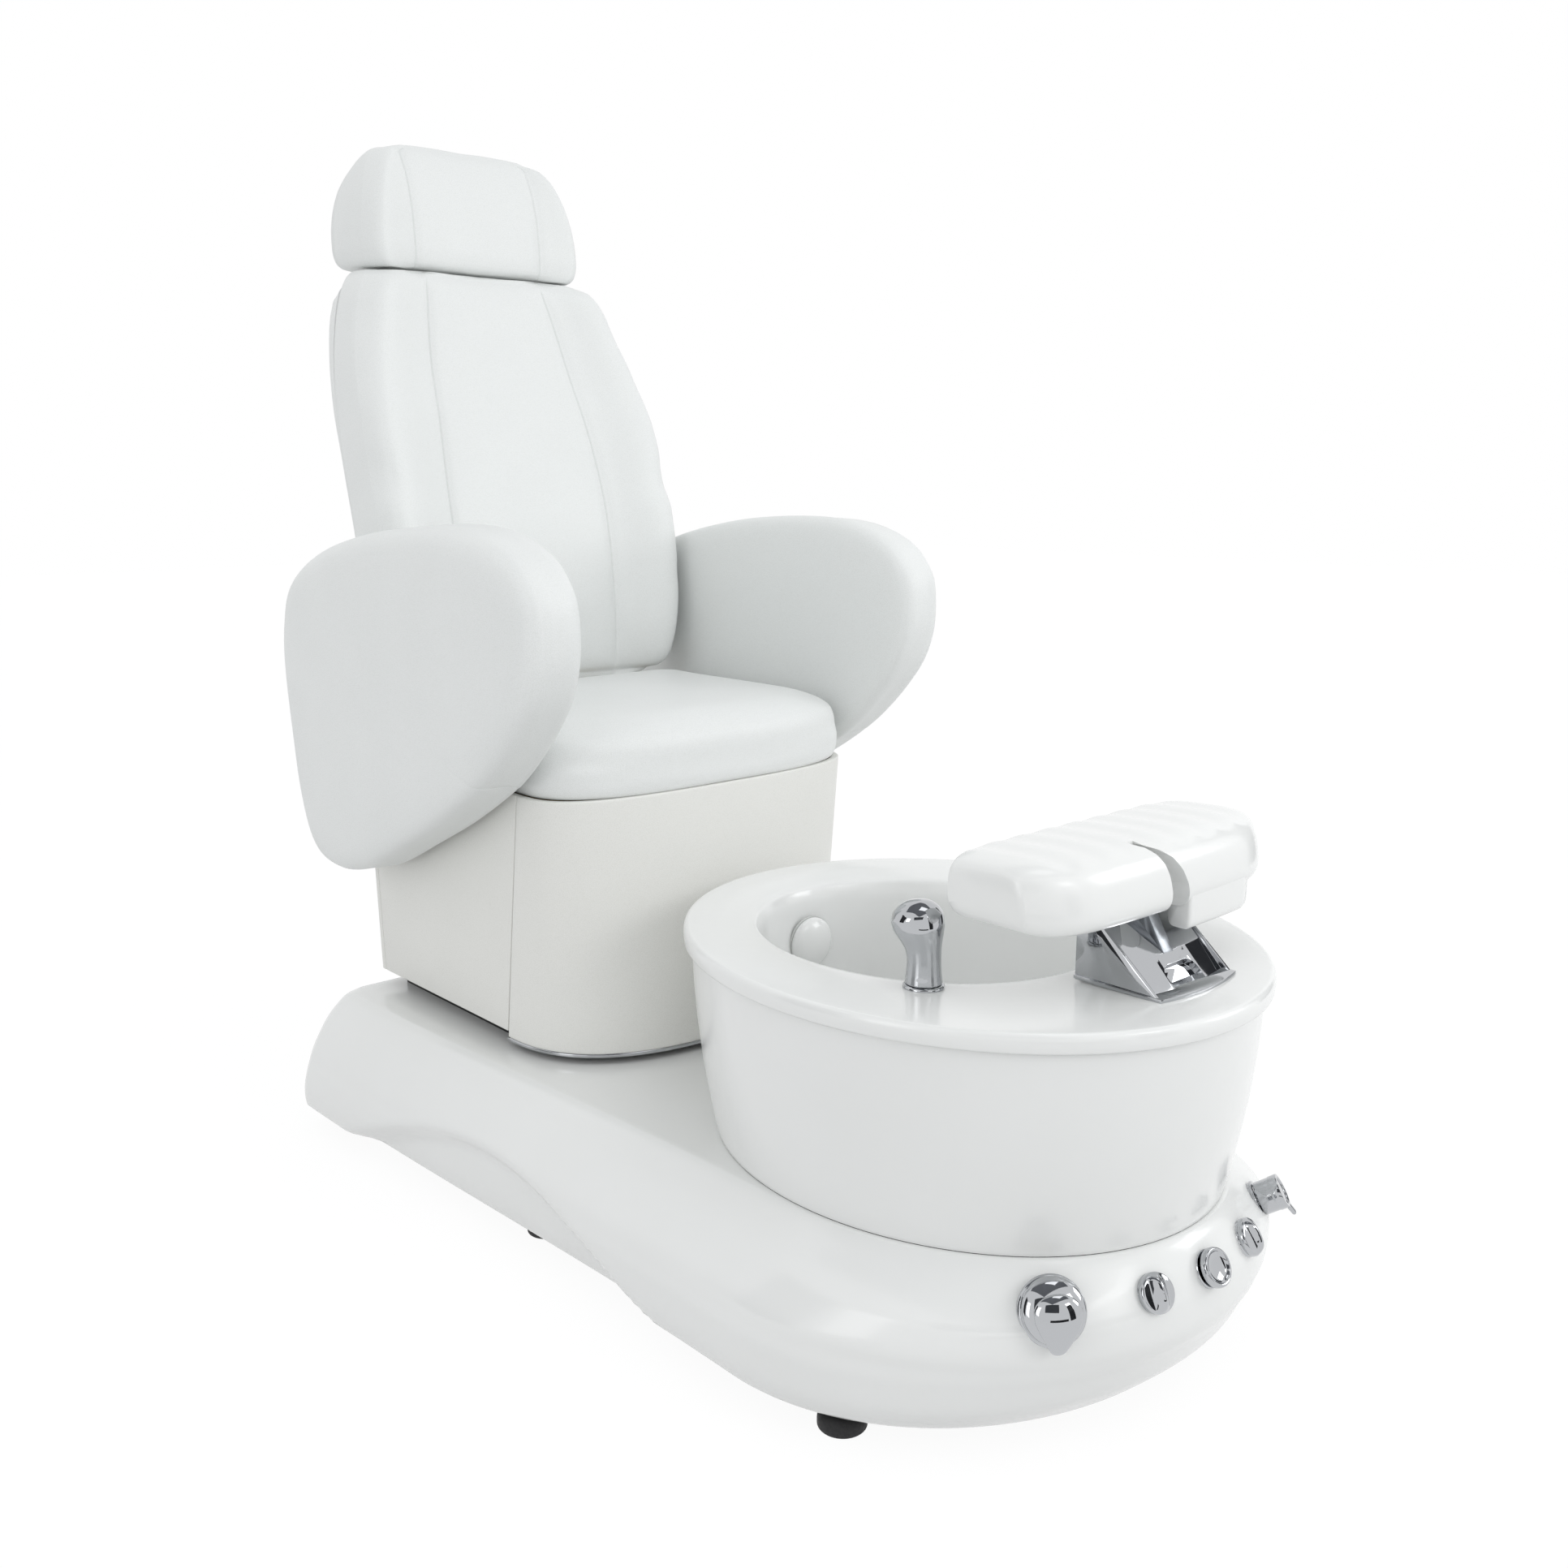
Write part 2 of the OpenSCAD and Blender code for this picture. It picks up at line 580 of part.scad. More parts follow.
// Rows of [height, how far it leans back, radius]
spout_rows = [
    [0, 0, 19.5], [4, 0, 19], [12, 0, 18], [24, 0, 17.4], [34, 1, 18.2], [42, 3, 20.5], [50, 5.5, 23.8],
    [58, 8, 26.4], [66, 10.5, 27], [73, 12.5, 24.5], [79, 14, 19], [83, 15, 11], [84.2, 15.5, 4]
];
module spout_swivel() {
    color(chrome) translate([spout_xy.x, spout_xy.y, spout_seat + 4 + slip]) difference() {
        union() {
            translate([0, 0, -14]) cylinder(r = 8, h = 20);
            skin([for (r = spout_rows) let (tilt = spout_lean * clamp01((r[0] - 24) / 40))
                [for (a = [0:15:345]) [r[2] * cos(a), r[1] + r[2] * sin(a) * cos(tilt),
                    r[0] - r[2] * sin(a) * sin(tilt)]]]);
        }
        translate([0, 12, 58]) rotate([-115, 0, 0]) cylinder(r = 11, h = 60);
    }
}

// ---------------------------------------------------------------- footrest
rest_z = rest_seat + 30;          // the tilt pin
tread_z = rim_h + rest_up;
rest_t = 72;                      // depth of the pad below its tread
flange_z = tread_z - rest_t + 8;  // flat in the pad's underside that the arm is bolted to
module rest_bracket() {
    low = rest_seat;
    color(chrome) difference() {
        rotate([90, 0, 90]) translate([0, 0, rest_x - bracket_w / 2]) linear_extrude(bracket_w) polygon([
            [rest_y - 56, low], [rest_y + 55, low], [rest_y + 55, low + 47], [rest_y - 2, low + 46],
            [rest_y - 56, low + 6]]);
        bar([rest_x - 34, rest_y - 48, low + 4], [rest_x + 34, rest_y + 70, low + 80]);
        bar([rest_x - bracket_w / 2 + 4, rest_y + 4, low + 4],
            [rest_x + bracket_w / 2 - 4, rest_y + 70, low + 80]);
        rod_x(rest_pin_r, rest_x - bracket_w, rest_x + bracket_w, rest_y, rest_z);
        for (x = [-40, 40], y = bolt_rows) translate([rest_x + x, y, low - 5]) cylinder(r = 4.2, h = 10);
        for (x = [-40, 40], y = bolt_rows) translate([rest_x + x, y, low + 4]) cylinder(r = 8, h = 60);
    }
}
module rest_bolts() {
    color(steel) for (x = [-40, 40], y = bolt_rows) translate([rest_x + x, y, 0]) {
        translate([0, 0, rest_seat - 30]) cylinder(r = 4, h = 35);
        translate([0, 0, rest_seat + 4]) cylinder(r = 7, h = 4);
        translate([0, 0, rim_h - rim_t - 1]) cylinder(r = 8, h = 7, $fn = 6);
    }
}
module rest_pin() {
    color(steel) rod_x(rest_pin_r, rest_x - bracket_w / 2 + 1, rest_x + bracket_w / 2 - 1, rest_y, rest_z);
}
module rest_arm() {
    color(steel) difference() {
        union() {
            rotate([90, 0, 90]) translate([0, 0, rest_x - 8]) linear_extrude(16) union() {
                translate([rest_y, rest_z]) circle(rest_pin_r + 6);
                polygon([[rest_y - 10, rest_z + 6], [rest_y + 9, rest_z - 8], [rest_y + 50, flange_z - 4],
                    [rest_y + 17, flange_z - 4]]);
            }
            bar([rest_x - 40, rest_y + 15, flange_z - 5], [rest_x + 40, rest_y + 84, flange_z]);
        }
        rod_x(rest_pin_r + fit, rest_x - 30, rest_x + 30, rest_y, rest_z);
    }
}
// Side view of the pad from its pin, as [Y, Z below the tread], going up at the rear
rest_rear = 127;
rest_side = closed_curve([
    [122, -64], [rest_rear, -40], [124, -10], [106, -1], [60, 2], [22, 2], [-1, -3], [-15, -17],
    [-22, -38], [-23, -58], [-14, -70], [6, -rest_t], [50, -rest_t], [100, -rest_t]], 3);
// Rows of [share of the half width, how far the section shrinks]
rest_rows = [
    [0, 0], [0.3, 0], [0.6, 0.01], [0.78, 0.03], [0.88, 0.07], [0.94, 0.13], [0.98, 0.22], [1, 0.36]
];
function rest_ring(t, shrink) = let (k = 1 - 0.18 * t * t) [for (p = rest_side) [
    rest_x + t * rest_w / 2, rest_y + rest_rear - 8 * shrink + (p[0] - rest_rear) * k * (1 - 0.25 * shrink),
    tread_z + mix(p[1], -rest_t / 2, shrink)]];
// The cleft's outline in front: X as a share of its width, Z from the tread
cleft = [[-1.77, 2], [-1.31, -5], [-0.92, -14], [-0.65, -28], [-0.52, -45], [-0.5, -80],
    [0.6, -80], [0.58, -62], [0.42, -45], [0.08, -28], [-0.38, -14], [-1, -4], [-1.5, 2]];
module rest_pad() {
    n = len(rest_rows);
    color(gelcoat) difference() {
        skin(concat([for (i = [n - 1:-1:1]) rest_ring(-rest_rows[i][0], rest_rows[i][1])],
            [for (r = rest_rows) rest_ring(r[0], r[1])]));
        for (i = [0:rest_flutes - 1]) translate([rest_x + mix(-0.4, 0.4, i / (rest_flutes - 1)) * rest_w,
            rest_y + rest_rear + 10, tread_z + 13]) rotate([90, 0, 0]) cylinder(r = 13.5, h = 128);
        translate([rest_x, rest_y + 13, 0]) rotate([90, 0, 0]) linear_extrude(80)
            polygon([for (p = cleft) [p[0] * cleft_w, tread_z + p[1]]]);
        bar([rest_x - 40.5, rest_y + 13, tread_z - 90], [rest_x + 40.5, rest_y + 84.5, flange_z]);
    }
}
module rest_grip() {
    wide = 17;
    tall = 22;
    round = 4;
    color(gelcoat) rotate([90, 0, 90]) translate([0, 0, rest_x + cleft_w / 2 + 3]) linear_extrude(grip_w)
        translate([rest_y - 5, tread_z - rest_t - tall / 2]) union() {
            square([wide, tall], center = true);
            square([wide + 2 * round, tall - 2 * round], center = true);
            for (y = [-1, 1], z = [-1, 1]) translate([y * wide / 2, z * (tall / 2 - round)]) circle(round);
        }
}

// ---------------------------------------------------------------- tap, knobs and spray
tap_dome = 24;
module tap_valve() {
    color(steel) on_collar(tap_at, seat_sink) difference() {
        union() {
            translate([0, 0, -44]) cylinder(r = tap_shank, h = 44);
            translate([0, 0, -24]) cylinder(r = tap_shank + 7, h = 10, $fn = 6);
        }
        translate([0, 0, -22]) cylinder(r = 12 + fit, h = 40);
    }
}
module tap_escutcheon() {
    color(chrome) on_collar(tap_at, seat_sink) difference() {
        rotate_extrude() polygon([[0, 0], [tap_r + 2, 0], [tap_r + 2, 4], [tap_r, 6], [0, 6]]);
        translate([0, 0, -1]) cylinder(r = 12 + fit, h = 20);
    }
}
// Turns for warmth; the lever tilts in it for flow
module tap_turret() {
    color(chrome) on_collar(tap_at, seat_sink) difference() {
        union() {
            translate([0, 0, -20]) cylinder(r = 12, h = 28);
            translate([0, 0, 6 + slip]) rotate_extrude() polygon([[0, 0], [tap_r, 0],
                for (a = [0:10:90]) [tap_r * cos(a), 4 + tap_dome * sin(a)]]);
        }
        translate([-12.5, -tap_r - 1, 14]) cube([25, tap_r + 14, 40]);
        rod_x(3 + fit, -22, 22, 0, 20);
    }
}
module tap_lever() {
    color(chrome) on_collar(tap_at, seat_sink) {
        hull() {
            for (x = [-8, 8]) {
                translate([x, 3, 21]) sphere(r = 3.8, $fn = 24);
                translate([x, 6, 27]) sphere(r = 4, $fn = 24);
                translate([x * 0.5, -tap_r - 2, 19]) sphere(r = 4.5, $fn = 24);
                translate([x, -tap_r + 12, 27]) sphere(r = 4, $fn = 24);
            }
        }
        rod_x(3, -20, 20, 0, 20);
    }
}
module on_knobs() {
    for (a = knob_at) on_collar(a, seat_sink) children();
}
module knob_bezels() {
    color(chrome) on_knobs() difference() {
        rotate_extrude() polygon([[0, 0], [bezel_r, 0], [bezel_r, 2], [bezel_r - 1.5, 3.5], [0, 3.5]]);
        translate([0, 0, -1]) cylinder(r = 6 + fit, h = 20);
    }
}
module knob_valves() {
    color(steel) on_knobs() difference() {
        union() {
            translate([0, 0, -42]) cylinder(r = knob_shank, h = 42);
            translate([0, 0, -16]) cylinder(r = knob_shank + 6, h = 8, $fn = 6);
        }
        translate([0, 0, -24]) cylinder(r = 6 + fit, h = 40);
    }
}
// Domed knob on its stem, with a finger bar across it or without
module knob(lift, grip) {
    translate([0, 0, -18]) cylinder(r = 6, h = 28);
    translate([0, 0, 3.5 + lift]) rotate_extrude() polygon([[0, 0], [knob_r, 0], [knob_r, 4],
        for (a = [10:16:90]) [knob_r * cos(a), 4 + 8 * sin(a)]]);
    if (grip) translate([-2.5, -knob_r + 4, 10 + lift]) cube([5, 2 * knob_r - 8, 7.5]);
}
module diverter_knob() {
    color(chrome) on_collar(knob_at[0], seat_sink) knob(slip, true);
}
module jet_button() {
    color(chrome) on_collar(knob_at[1], seat_sink) knob(button_travel + slip, false);
}
module drain_knob() {
    color(chrome) on_collar(knob_at[2], seat_sink) knob(slip, true);
}
spray_len = 27;
spray_tail = 60;
module spray_socket() {
    color(chrome) on_collar(spray_at, seat_sink) difference() {
        union() {
            translate([0, 0, -66]) cylinder(r = spray_guide, h = 66);
            rotate_extrude()
                polygon([[0, 0], [spray_guide + 1, 0], [spray_guide + 1, 2], [spray_guide, 3], [0, 3]]);
        }
        translate([0, 0, -70]) cylinder(r = 9 + fit, h = 90);
        translate([0, 0, -30]) cylinder(r = spray_r - 2, h = 60);
    }
}
module spray_head() {
    color(chrome) on_collar(spray_at, seat_sink) difference() {
        union() {
            translate([0, 0, -spray_tail]) cylinder(r = 9, h = spray_tail + 10);
            translate([0, 0, 3 + slip]) rotate_extrude() polygon([[0, 0], [spray_r - 2, 0], [spray_r, 2],
                [spray_r, spray_len - 10], [spray_r + 1, spray_len - 8], [spray_r + 1, spray_len - 1],
                [spray_r, spray_len], [0, spray_len]]);
        }
        translate([0, 0, spray_len + 1]) cylinder(r = spray_r - 3, h = 10);
        translate([-3.4, -spray_r - 6, spray_len - 4]) cube([6.8, 12, 12]);
        rod_x(1.5 + fit, -10, 10, -spray_r + 3, spray_len);
        translate([0, 0, -spray_tail - 1]) cylinder(r = 6, h = spray_len + spray_tail - 8);
    }
}
module spray_lever() {
    color(chrome) on_collar(spray_at, seat_sink) {
        hull() {
            rod_x(2.6, -3, 3, -spray_r + 3, spray_len, $fn = 32);
            rod_x(2.2, -3, 3, -spray_r - 11, spray_len + 3, $fn = 32);
        }
        rod_x(1.5, -8, 8, -spray_r + 3, spray_len);
    }
}

// ---------------------------------------------------------------- seat box
function box_half(s) = mix(box_foot, box_top, s);
function box_side_y(s) = mix(190, 135, s);
function box_bow(s) = mix(183, 110, s);
function box_edge(s, wall, a) = let (h = box_half(s) - wall, b = box_bow(s) - wall, e = mix(0.8, 0.62, s))
    [h * power(cos(a), e), box_side_y(s) - b * power(sin(a), e)];
panel_foot = deck_h + shadow_gap;
side_lift = 8;
module box_front() {
    function grid(wall) = [for (s = [0:0.25:1]) [for (a = [180:-7.5:0])
        let (p = box_edge(s, wall, a)) [p.x, p.y, mix(panel_foot, box_h, s)]]];
    color(vinyl) sheet(grid(0), grid(panel_t));
}
module box_side() {
    function edge(s, wall) = [for (y = [box_side_y(s) + 1, box_rear - panel_t - 1]) [box_half(s) - wall, y,
        mix(panel_foot + side_lift, box_h, s)]];
    difference() {
        sheet([for (s = [0:0.25:1]) edge(s, 0)], [for (s = [0:0.25:1]) edge(s, panel_t)]);
        rod_x(arm_pin_r + 3, box_foot - 40, box_top + 20, arm_y, arm_z);
    }
}
module box_side_left() {
    color(vinyl) box_side();
}
module box_side_right() {
    color(vinyl) mirror([1, 0, 0]) box_side();
}
module box_rear_panel() {
    color(vinyl) rotate([90, 0, 0]) translate([0, 0, -box_rear]) linear_extrude(panel_t)
        polygon([[-box_half(0), panel_foot + side_lift], [box_half(0), panel_foot + side_lift],
            [box_half(1), box_h], [-box_half(1), box_h]]);
}
module box_trim() {
    function grid(wall) = [for (z = [panel_foot - 4, panel_foot]) [for (a = [180:-7.5:0])
        let (p = box_edge(0, wall, a)) [p.x, p.y, z]]];
    color(chrome) sheet(grid(-1), grid(panel_t - 2));
}
board_t = 14;
frame_high = box_h - board_t;
module seat_frame() {
    h = seat_tube / 2;
    color(steel) {
        both() {
            for (y = [post_front, post_rear])
                bar([post_x - h, y - h, panel_foot], [post_x + h, y + h, frame_high]);
            bar([post_x - h, post_front, frame_high - seat_tube], [post_x + h, post_rear, frame_high]);
            bar([post_x - h, post_front, panel_foot], [post_x + h, post_rear, panel_foot + seat_tube]);
            bar([post_x - h, arm_y - 25, arm_z - 25], [post_x + h, arm_y + 25, frame_high]);
            bar([post_x, arm_y - 14, arm_z - 14], [box_foot - panel_t - 3, arm_y + 14, arm_z + 14]);
            for (y = [235, post_rear - 20]) {
                bar([post_x, y, frame_high - 16], [box_half(0.9) - panel_t, y + 20, frame_high]);
                bar([post_x, y, panel_foot + 9], [box_foot - panel_t, y + 20, panel_foot + seat_tube]);
            }
        }
        for (y = [post_front, post_rear]) for (z = [panel_foot, frame_high - seat_tube])
            bar([-post_x, y - h, z], [post_x, y + h, z + seat_tube]);
        bar([-12, box_side_y(0.5) - box_bow(0.5) + panel_t + 4, 380], [12, post_front, 400]);
        bar([-12, post_front - h, 380], [12, post_front + h, frame_high]);
        bar([-12, post_rear, 380], [12, box_rear - panel_t, 400]);
        bar([-12, post_rear - h, 380], [12, post_rear + h, frame_high]);
    }
}
module seat_board() {
    back = box_rear - panel_t;
    half = box_foot - 8;
    notch = pivot_y - 26;
    color(wood) translate([0, 0, frame_high]) linear_extrude(board_t - 0.2) polygon(concat(
        [[half, back], [219, back], [219, notch], [176, notch], [176, back]],
        [[-176, back], [-176, notch], [-219, notch], [-219, back], [-half, back]],
        [for (a = [180:-15:0]) let (p = box_edge(1, panel_t + 12, a)) [p.x, p.y]]));
}
seat_rear = 463;
seat_foot = box_h + 0.3;
// Rows of [share of the thickness, inset]
seat_rows = [[0, 9], [0.08, 3], [0.3, -1], [0.6, -2], [0.82, 1], [0.93, 6], [1.0, 16]];
function seat_ring(inset, z) = let (
        h = box_half(1) - 3 - inset,
        b = box_bow(1) + 4 - inset,
        side = box_side_y(1),
        back = seat_rear - inset,
        front = [for (a = [0:9:90])
            [a > 89 ? 0 : h * power(cos(a), 0.62), side - b * power(sin(a), 0.7)]],
        rear = [[h * 0.5, back], [h - 30, back], [h - 9, back - 9], [h, back - 30],
            [h, mix(back, side, 0.35)], [h, mix(back, side, 0.7)]]
    ) both_sides([for (p = concat(rear, front)) [p.x, p.y, z]]);
// Rows of [size against the top edge, share of the crown]
crown_rows = [[0.94, 0.36], [0.82, 0.66], [0.6, 0.88], [0.3, 1]];
function seat_top(k, z) = let (mid = (seat_rear + box_side_y(1) - box_bow(1)) / 2)
    [for (p = seat_ring(16, z)) [p.x * k, mix(mid, p.y, k), z]];
module seat_cushion() {
    top = seat_foot + seat_t;
    color(vinyl) skin(concat(
        [for (r = seat_rows) seat_ring(r[1], mix(seat_foot, top, r[0]))],
        [for (r = crown_rows) seat_top(r[0], top + seat_crown * r[1])]));
}

// ---------------------------------------------------------------- backrest
function board_at(z) = board_y + (z - back_foot) * tan(back_tilt);
lug_t = 6;
lug_x = 178;
lug_r = 18;
module recline_brackets() {
    color(steel) both() {
        difference() {
            rotate([90, 0, 90]) translate([0, 0, lug_x]) linear_extrude(lug_t) union() {
                translate([pivot_y, pivot_z]) circle(lug_r);
                polygon([[pivot_y - lug_r, pivot_z], [pivot_y + lug_r, pivot_z],
                    [post_rear + 12.5, frame_high], [pivot_y - 20, frame_high]]);
            }
            rod_x(pivot_r, lug_x - 2, lug_x + lug_t + 2, pivot_y, pivot_z);
        }
        bar([lug_x, post_rear - 12, frame_high], [post_x, post_rear + 12.5, frame_high + 5]);
    }
}
module recline_pins() {
    color(steel) both() {
        rod_x(pivot_r, lug_x - lug_t - 4, lug_x + lug_t, pivot_y, pivot_z);
        rod_x(pivot_r + 5, lug_x + lug_t, lug_x + lug_t + 4, pivot_y, pivot_z);
    }
}
back_board_t = 12;
// Back parts are drawn leaning: X across, Y out of the board's front face, Z up along it
module on_back() {
    translate([0, board_y, back_foot]) rotate([-back_tilt, 0, 0]) children();
}
back_long = (back_head - back_foot) / cos(back_tilt);
// The board is slotted for the two hinge plates
module back_board() {
    ply = back_board_t - slip;
    color(wood) on_back() difference() {
        translate([0, back_board_t, 0]) rotate([90, 0, 0]) linear_extrude(ply) polygon([
            [-200, 24], [200, 24], [217, 60], [220, 160], [217, 300], [203, 430], [174, back_long - 82],
            [148, back_long - 24], [-148, back_long - 24], [-174, back_long - 82], [-203, 430],
            [-217, 300], [-220, 160], [-217, 60]]);
        for (x = [-1, 1]) translate([x * (lug_x - slip - lug_t / 2) - lug_t / 2 - 0.3, -1, -1])
            cube([lug_t + 0.6, back_board_t + 2, 128]);
    }
}
// Hinge plates, welded to their pin bosses
module back_frame() {
    color(steel) both() difference() {
        rotate([90, 0, 90]) translate([0, 0, lug_x - lug_t - slip]) linear_extrude(lug_t) union() {
            translate([pivot_y, pivot_z]) circle(lug_r);
            polygon([
                [pivot_y - 10, pivot_z + 14.5], [board_at(back_foot) + 0.1, back_foot - 1],
                for (p = [[120, 0], [112, 12.4], [42, 12.4], [10, 17]])
                    [board_at(back_foot + p[0]) + p[1], back_foot + p[0]],
                [pivot_y + lug_r, pivot_z]]);
        }
        rod_x(pivot_r + fit, 100, 250, pivot_y, pivot_z);
    }
}
// Rows of [height share, half width, Y of the centre panel from its foot, bolster]
back_rows = [
    [0.000, 214, 9, 12], [0.012, 230, 2, 22], [0.05, 242, -2, 31], [0.14, 247, -1, 36], [0.27, 248, 6, 38],
    [0.40, 247, 18, 39], [0.52, 246, 36, 37], [0.64, 243, 58, 36], [0.76, 235, 87, 34], [0.86, 222, 106, 30],
    [0.94, 206, 120, 27], [0.98, 192, 128, 24], [1.000, 176, 138, 16]
];
back_front = 464;                 // Y of the centre panel at the cushion's foot
seam_half = [[0, 135], [0.4, 135], [0.75, 119], [1, 98]];
seam_deep = 5;
// Front face of the cushion, from the centre to its side: u is 0 to 1
function back_face(u, row) = let (
        seam = lookup(row[0], seam_half),
        x = row[1] * u,
        rise = row[3] * ease((x - seam) / (row[1] - seam - 26)),
        groove = seam_deep * max(0, 1 - abs(x - seam) / 7),
        round = 40 * pow(clamp01((x - row[1] + 30) / 30), 3)
    ) [x, back_front + row[2] - rise + groove + round];
face_u = [0, 0.3, 0.44, 0.5, 0.53, 0.56, 0.59, 0.65, 0.75, 0.87, 0.94, 0.98, 1];
function back_ring(row) = let (
        z = mix(back_foot, back_head, row[0]),
        rear = board_at(z) - 0.3,
        front = [for (u = face_u) back_face(u, row)],
        edge = front[len(front) - 1]
    ) both_sides([for (p = concat(
        [[row[1] * 0.5, rear], [row[1] - 8, rear], [row[1] - 1, rear - 5],
            [row[1], mix(rear, edge.y, 0.4)]],
        [for (i = [len(front) - 1:-1:0]) front[i]])) [p.x, p.y, z]]);
module back_cushion() {
    color(vinyl) skin([for (r = back_rows) back_ring(r)]);
}
// Depth of the rear cover along its height
cover_deep = [[0, 17], [230, 16], [300, 21], [360, 28], [420, 36], [495, 42], [573, 50], [back_long, 46]];
cover_half = [for (r = back_rows) [r[0] * back_long, r[1] - 4]];
function cover_ring(inset, share, less) = let (
        rise = [for (i = [0:16]) mix(5, back_long - 6, i / 16)],
        c = back_long / 2,
        side = [for (z = rise) [lookup(z, cover_half) * (1 - inset / 240), c + (z - c) * (1 - inset / 310)]]
    ) [for (p = concat([for (i = [16:-1:0]) side[i]], [for (q = side) [-q[0], q[1]]]))
        [p[0], 0.2 + share * lookup(p[1], cover_deep) - less, p[1]]];
module back_cover() {
    wall = 4;
    color(vinyl) on_back() difference() {
        skin([cover_ring(0, 0, 0), cover_ring(0, 0.5, 0), cover_ring(3, 0.75, 0), cover_ring(9, 0.92, 0),
            cover_ring(22, 1, 0), cover_ring(90, 1, 0), cover_ring(170, 1, 0)]);
        skin([cover_ring(wall, 0, 2), cover_ring(wall, 0.5, 0), cover_ring(wall + 5, 0.75, wall * 0.7),
            cover_ring(22, 1, wall), cover_ring(90, 1, wall), cover_ring(170, 1, wall)]);
        for (x = [-1, 1]) translate([x * (lug_x - lug_t / 2 - slip) - 5, -2, -20]) cube([10, 60, 76]);
        for (x = [-1, 1]) translate([x * post_half, post_lie, back_long - 60]) cylinder(r = post_r + 2, h = 90);
    }
}
post_lie = back_board_t + 8;      // how deep the posts run inside the cover
guide_len = 60;
guide_rows = [402, 534];
module post_guides() {
    color(plastic) on_back() for (x = [-1, 1], z = guide_rows) difference() {
        translate([x * post_half - 11, back_board_t, z]) cube([22, 16, guide_len]);
        translate([x * post_half, post_lie, z - 1]) cylinder(r = post_r + fit, h = guide_len + 2);
    }
}
head_foot = back_head + 2;
post_low = 379;
post_up = 62;
module head_posts() {
    color(chrome) on_back() for (x = [-1, 1]) translate([x * post_half, post_lie, post_low])
        cylinder(r = post_r, h = back_long + post_up - post_low);
}
// Rows of [height share, half width, front, rear], both measured from head_y
head_y = 592;
head_rows = [
    [0.00, 152, 15, 125], [0.02, 168, 6, 137], [0.07, 177, 1, 143], [0.16, 180, 0, 147],
    [0.3, 179, 2, 150], [0.45, 175, 5, 152], [0.6, 169, 11, 148], [0.74, 161, 19, 134],
    [0.85, 152, 28, 111], [0.94, 139, 37, 87], [1.00, 118, 49, 69]
];
head_seam = 106;
function head_face(u, row) = let (
        x = row[1] * u,
        swell = 14 * ease((x - head_seam) / (row[1] - head_seam - 14)),
        groove = seam_deep * max(0, 1 - abs(x - head_seam) / 7),
        round = 36 * pow(clamp01((x - row[1] + 26) / 26), 3)
    ) [x, head_y + row[2] + 10 - swell + groove + round];
head_u = [0, 0.35, 0.55, 0.6, 0.63, 0.66, 0.7, 0.78, 0.88, 0.95, 1];
function head_ring(row) = let (
        z = mix(head_foot, head_foot + head_h, row[0]),
        front = [for (u = head_u) head_face(u, row)],
        edge = front[len(front) - 1],
        rear = head_y + row[3]
    ) both_sides([for (p = concat(
        [[row[1] * 0.5, rear], [row[1] - 20, rear - 2], [row[1] - 4, rear - 14],
            [row[1], mix(rear, edge.y, 0.45)]],
        [for (i = [len(front) - 1:-1:0]) front[i]])) [p.x, p.y, z]]);
module head_cushion() {
    color(vinyl) difference() {
        skin([for (r = head_rows) head_ring(r)]);
        on_back() for (x = [-1, 1]) translate([x * post_half, post_lie, back_long - 20])
            cylinder(r = post_r + fit, h = post_up + 20);
    }
}

// ---------------------------------------------------------------- arms
arm_drawn = 505;                  // height of the pivot in this drawing
arm_outline = closed_curve([for (p = [
    [345, 785], [350, 725], [382, 666], [463, 587], [580, 514], [700, 456], [800, 412], [878, 397],
    [946, 414], [984, 483], [1005, 580], [1017, 680], [1009, 748], [975, 805], [882, 850], [740, 879],
    [600, 889], [480, 886], [400, 862], [358, 825]]) [p[0] - tub_front, p[1] + arm_z - arm_drawn]], 2);
arm_mid = [678 - tub_front, 672 + arm_z - arm_drawn];
function arm_ring(x, inset) = let (f = 1 - inset / 270)
    [for (p = arm_outline) [x, arm_mid[0] + (p[0] - arm_mid[0]) * f, arm_mid[1] + (p[1] - arm_mid[1]) * f]];
arm_face = arm_in + arm_board_t + 0.3;
// Rows of [share of the pad's thickness, inset]
arm_rows = [
    [0, 24], [0.04, 12], [0.14, 4], [0.3, 0], [0.66, 0], [0.82, 3], [0.91, 9], [0.965, 19], [0.99, 50], [1, 150]
];
module arm_pad() {
    w = arm_out - arm_face;
    skin([for (r = arm_rows) arm_ring(arm_face + w * r[0], r[1])]);
}
module arm_board() {
    difference() {
        rotate([90, 0, 90]) translate([0, 0, arm_in]) linear_extrude(arm_board_t)
            polygon([for (p = arm_ring(0, 46)) [p[1], p[2]]]);
        rod_x(arm_pin_r + fit, arm_in - 1, arm_out, arm_y, arm_z);
        rod_x(arm_pin_r + 5, arm_in + arm_board_t - 3, arm_out, arm_y, arm_z);
    }
}
module arm_board_left() {
    color(vinyl) arm_board();
}
module arm_board_right() {
    color(vinyl) mirror([1, 0, 0]) arm_board();
}
module arm_pad_left() {
    color(vinyl) arm_pad();
}
module arm_pad_right() {
    color(vinyl) mirror([1, 0, 0]) arm_pad();
}
module arm_bolts() {
    color(steel) both() {
        rod_x(arm_pin_r, box_foot - panel_t - 3, arm_in + arm_board_t - 3, arm_y, arm_z);
        rod_x(arm_pin_r + 4, arm_in + arm_board_t - 3 + 0.1, arm_in + arm_board_t - 0.2, arm_y, arm_z);
        rod_x(arm_pin_r + 2.5, box_top + 0.2, arm_in - 0.2, arm_y, arm_z);
    }
}

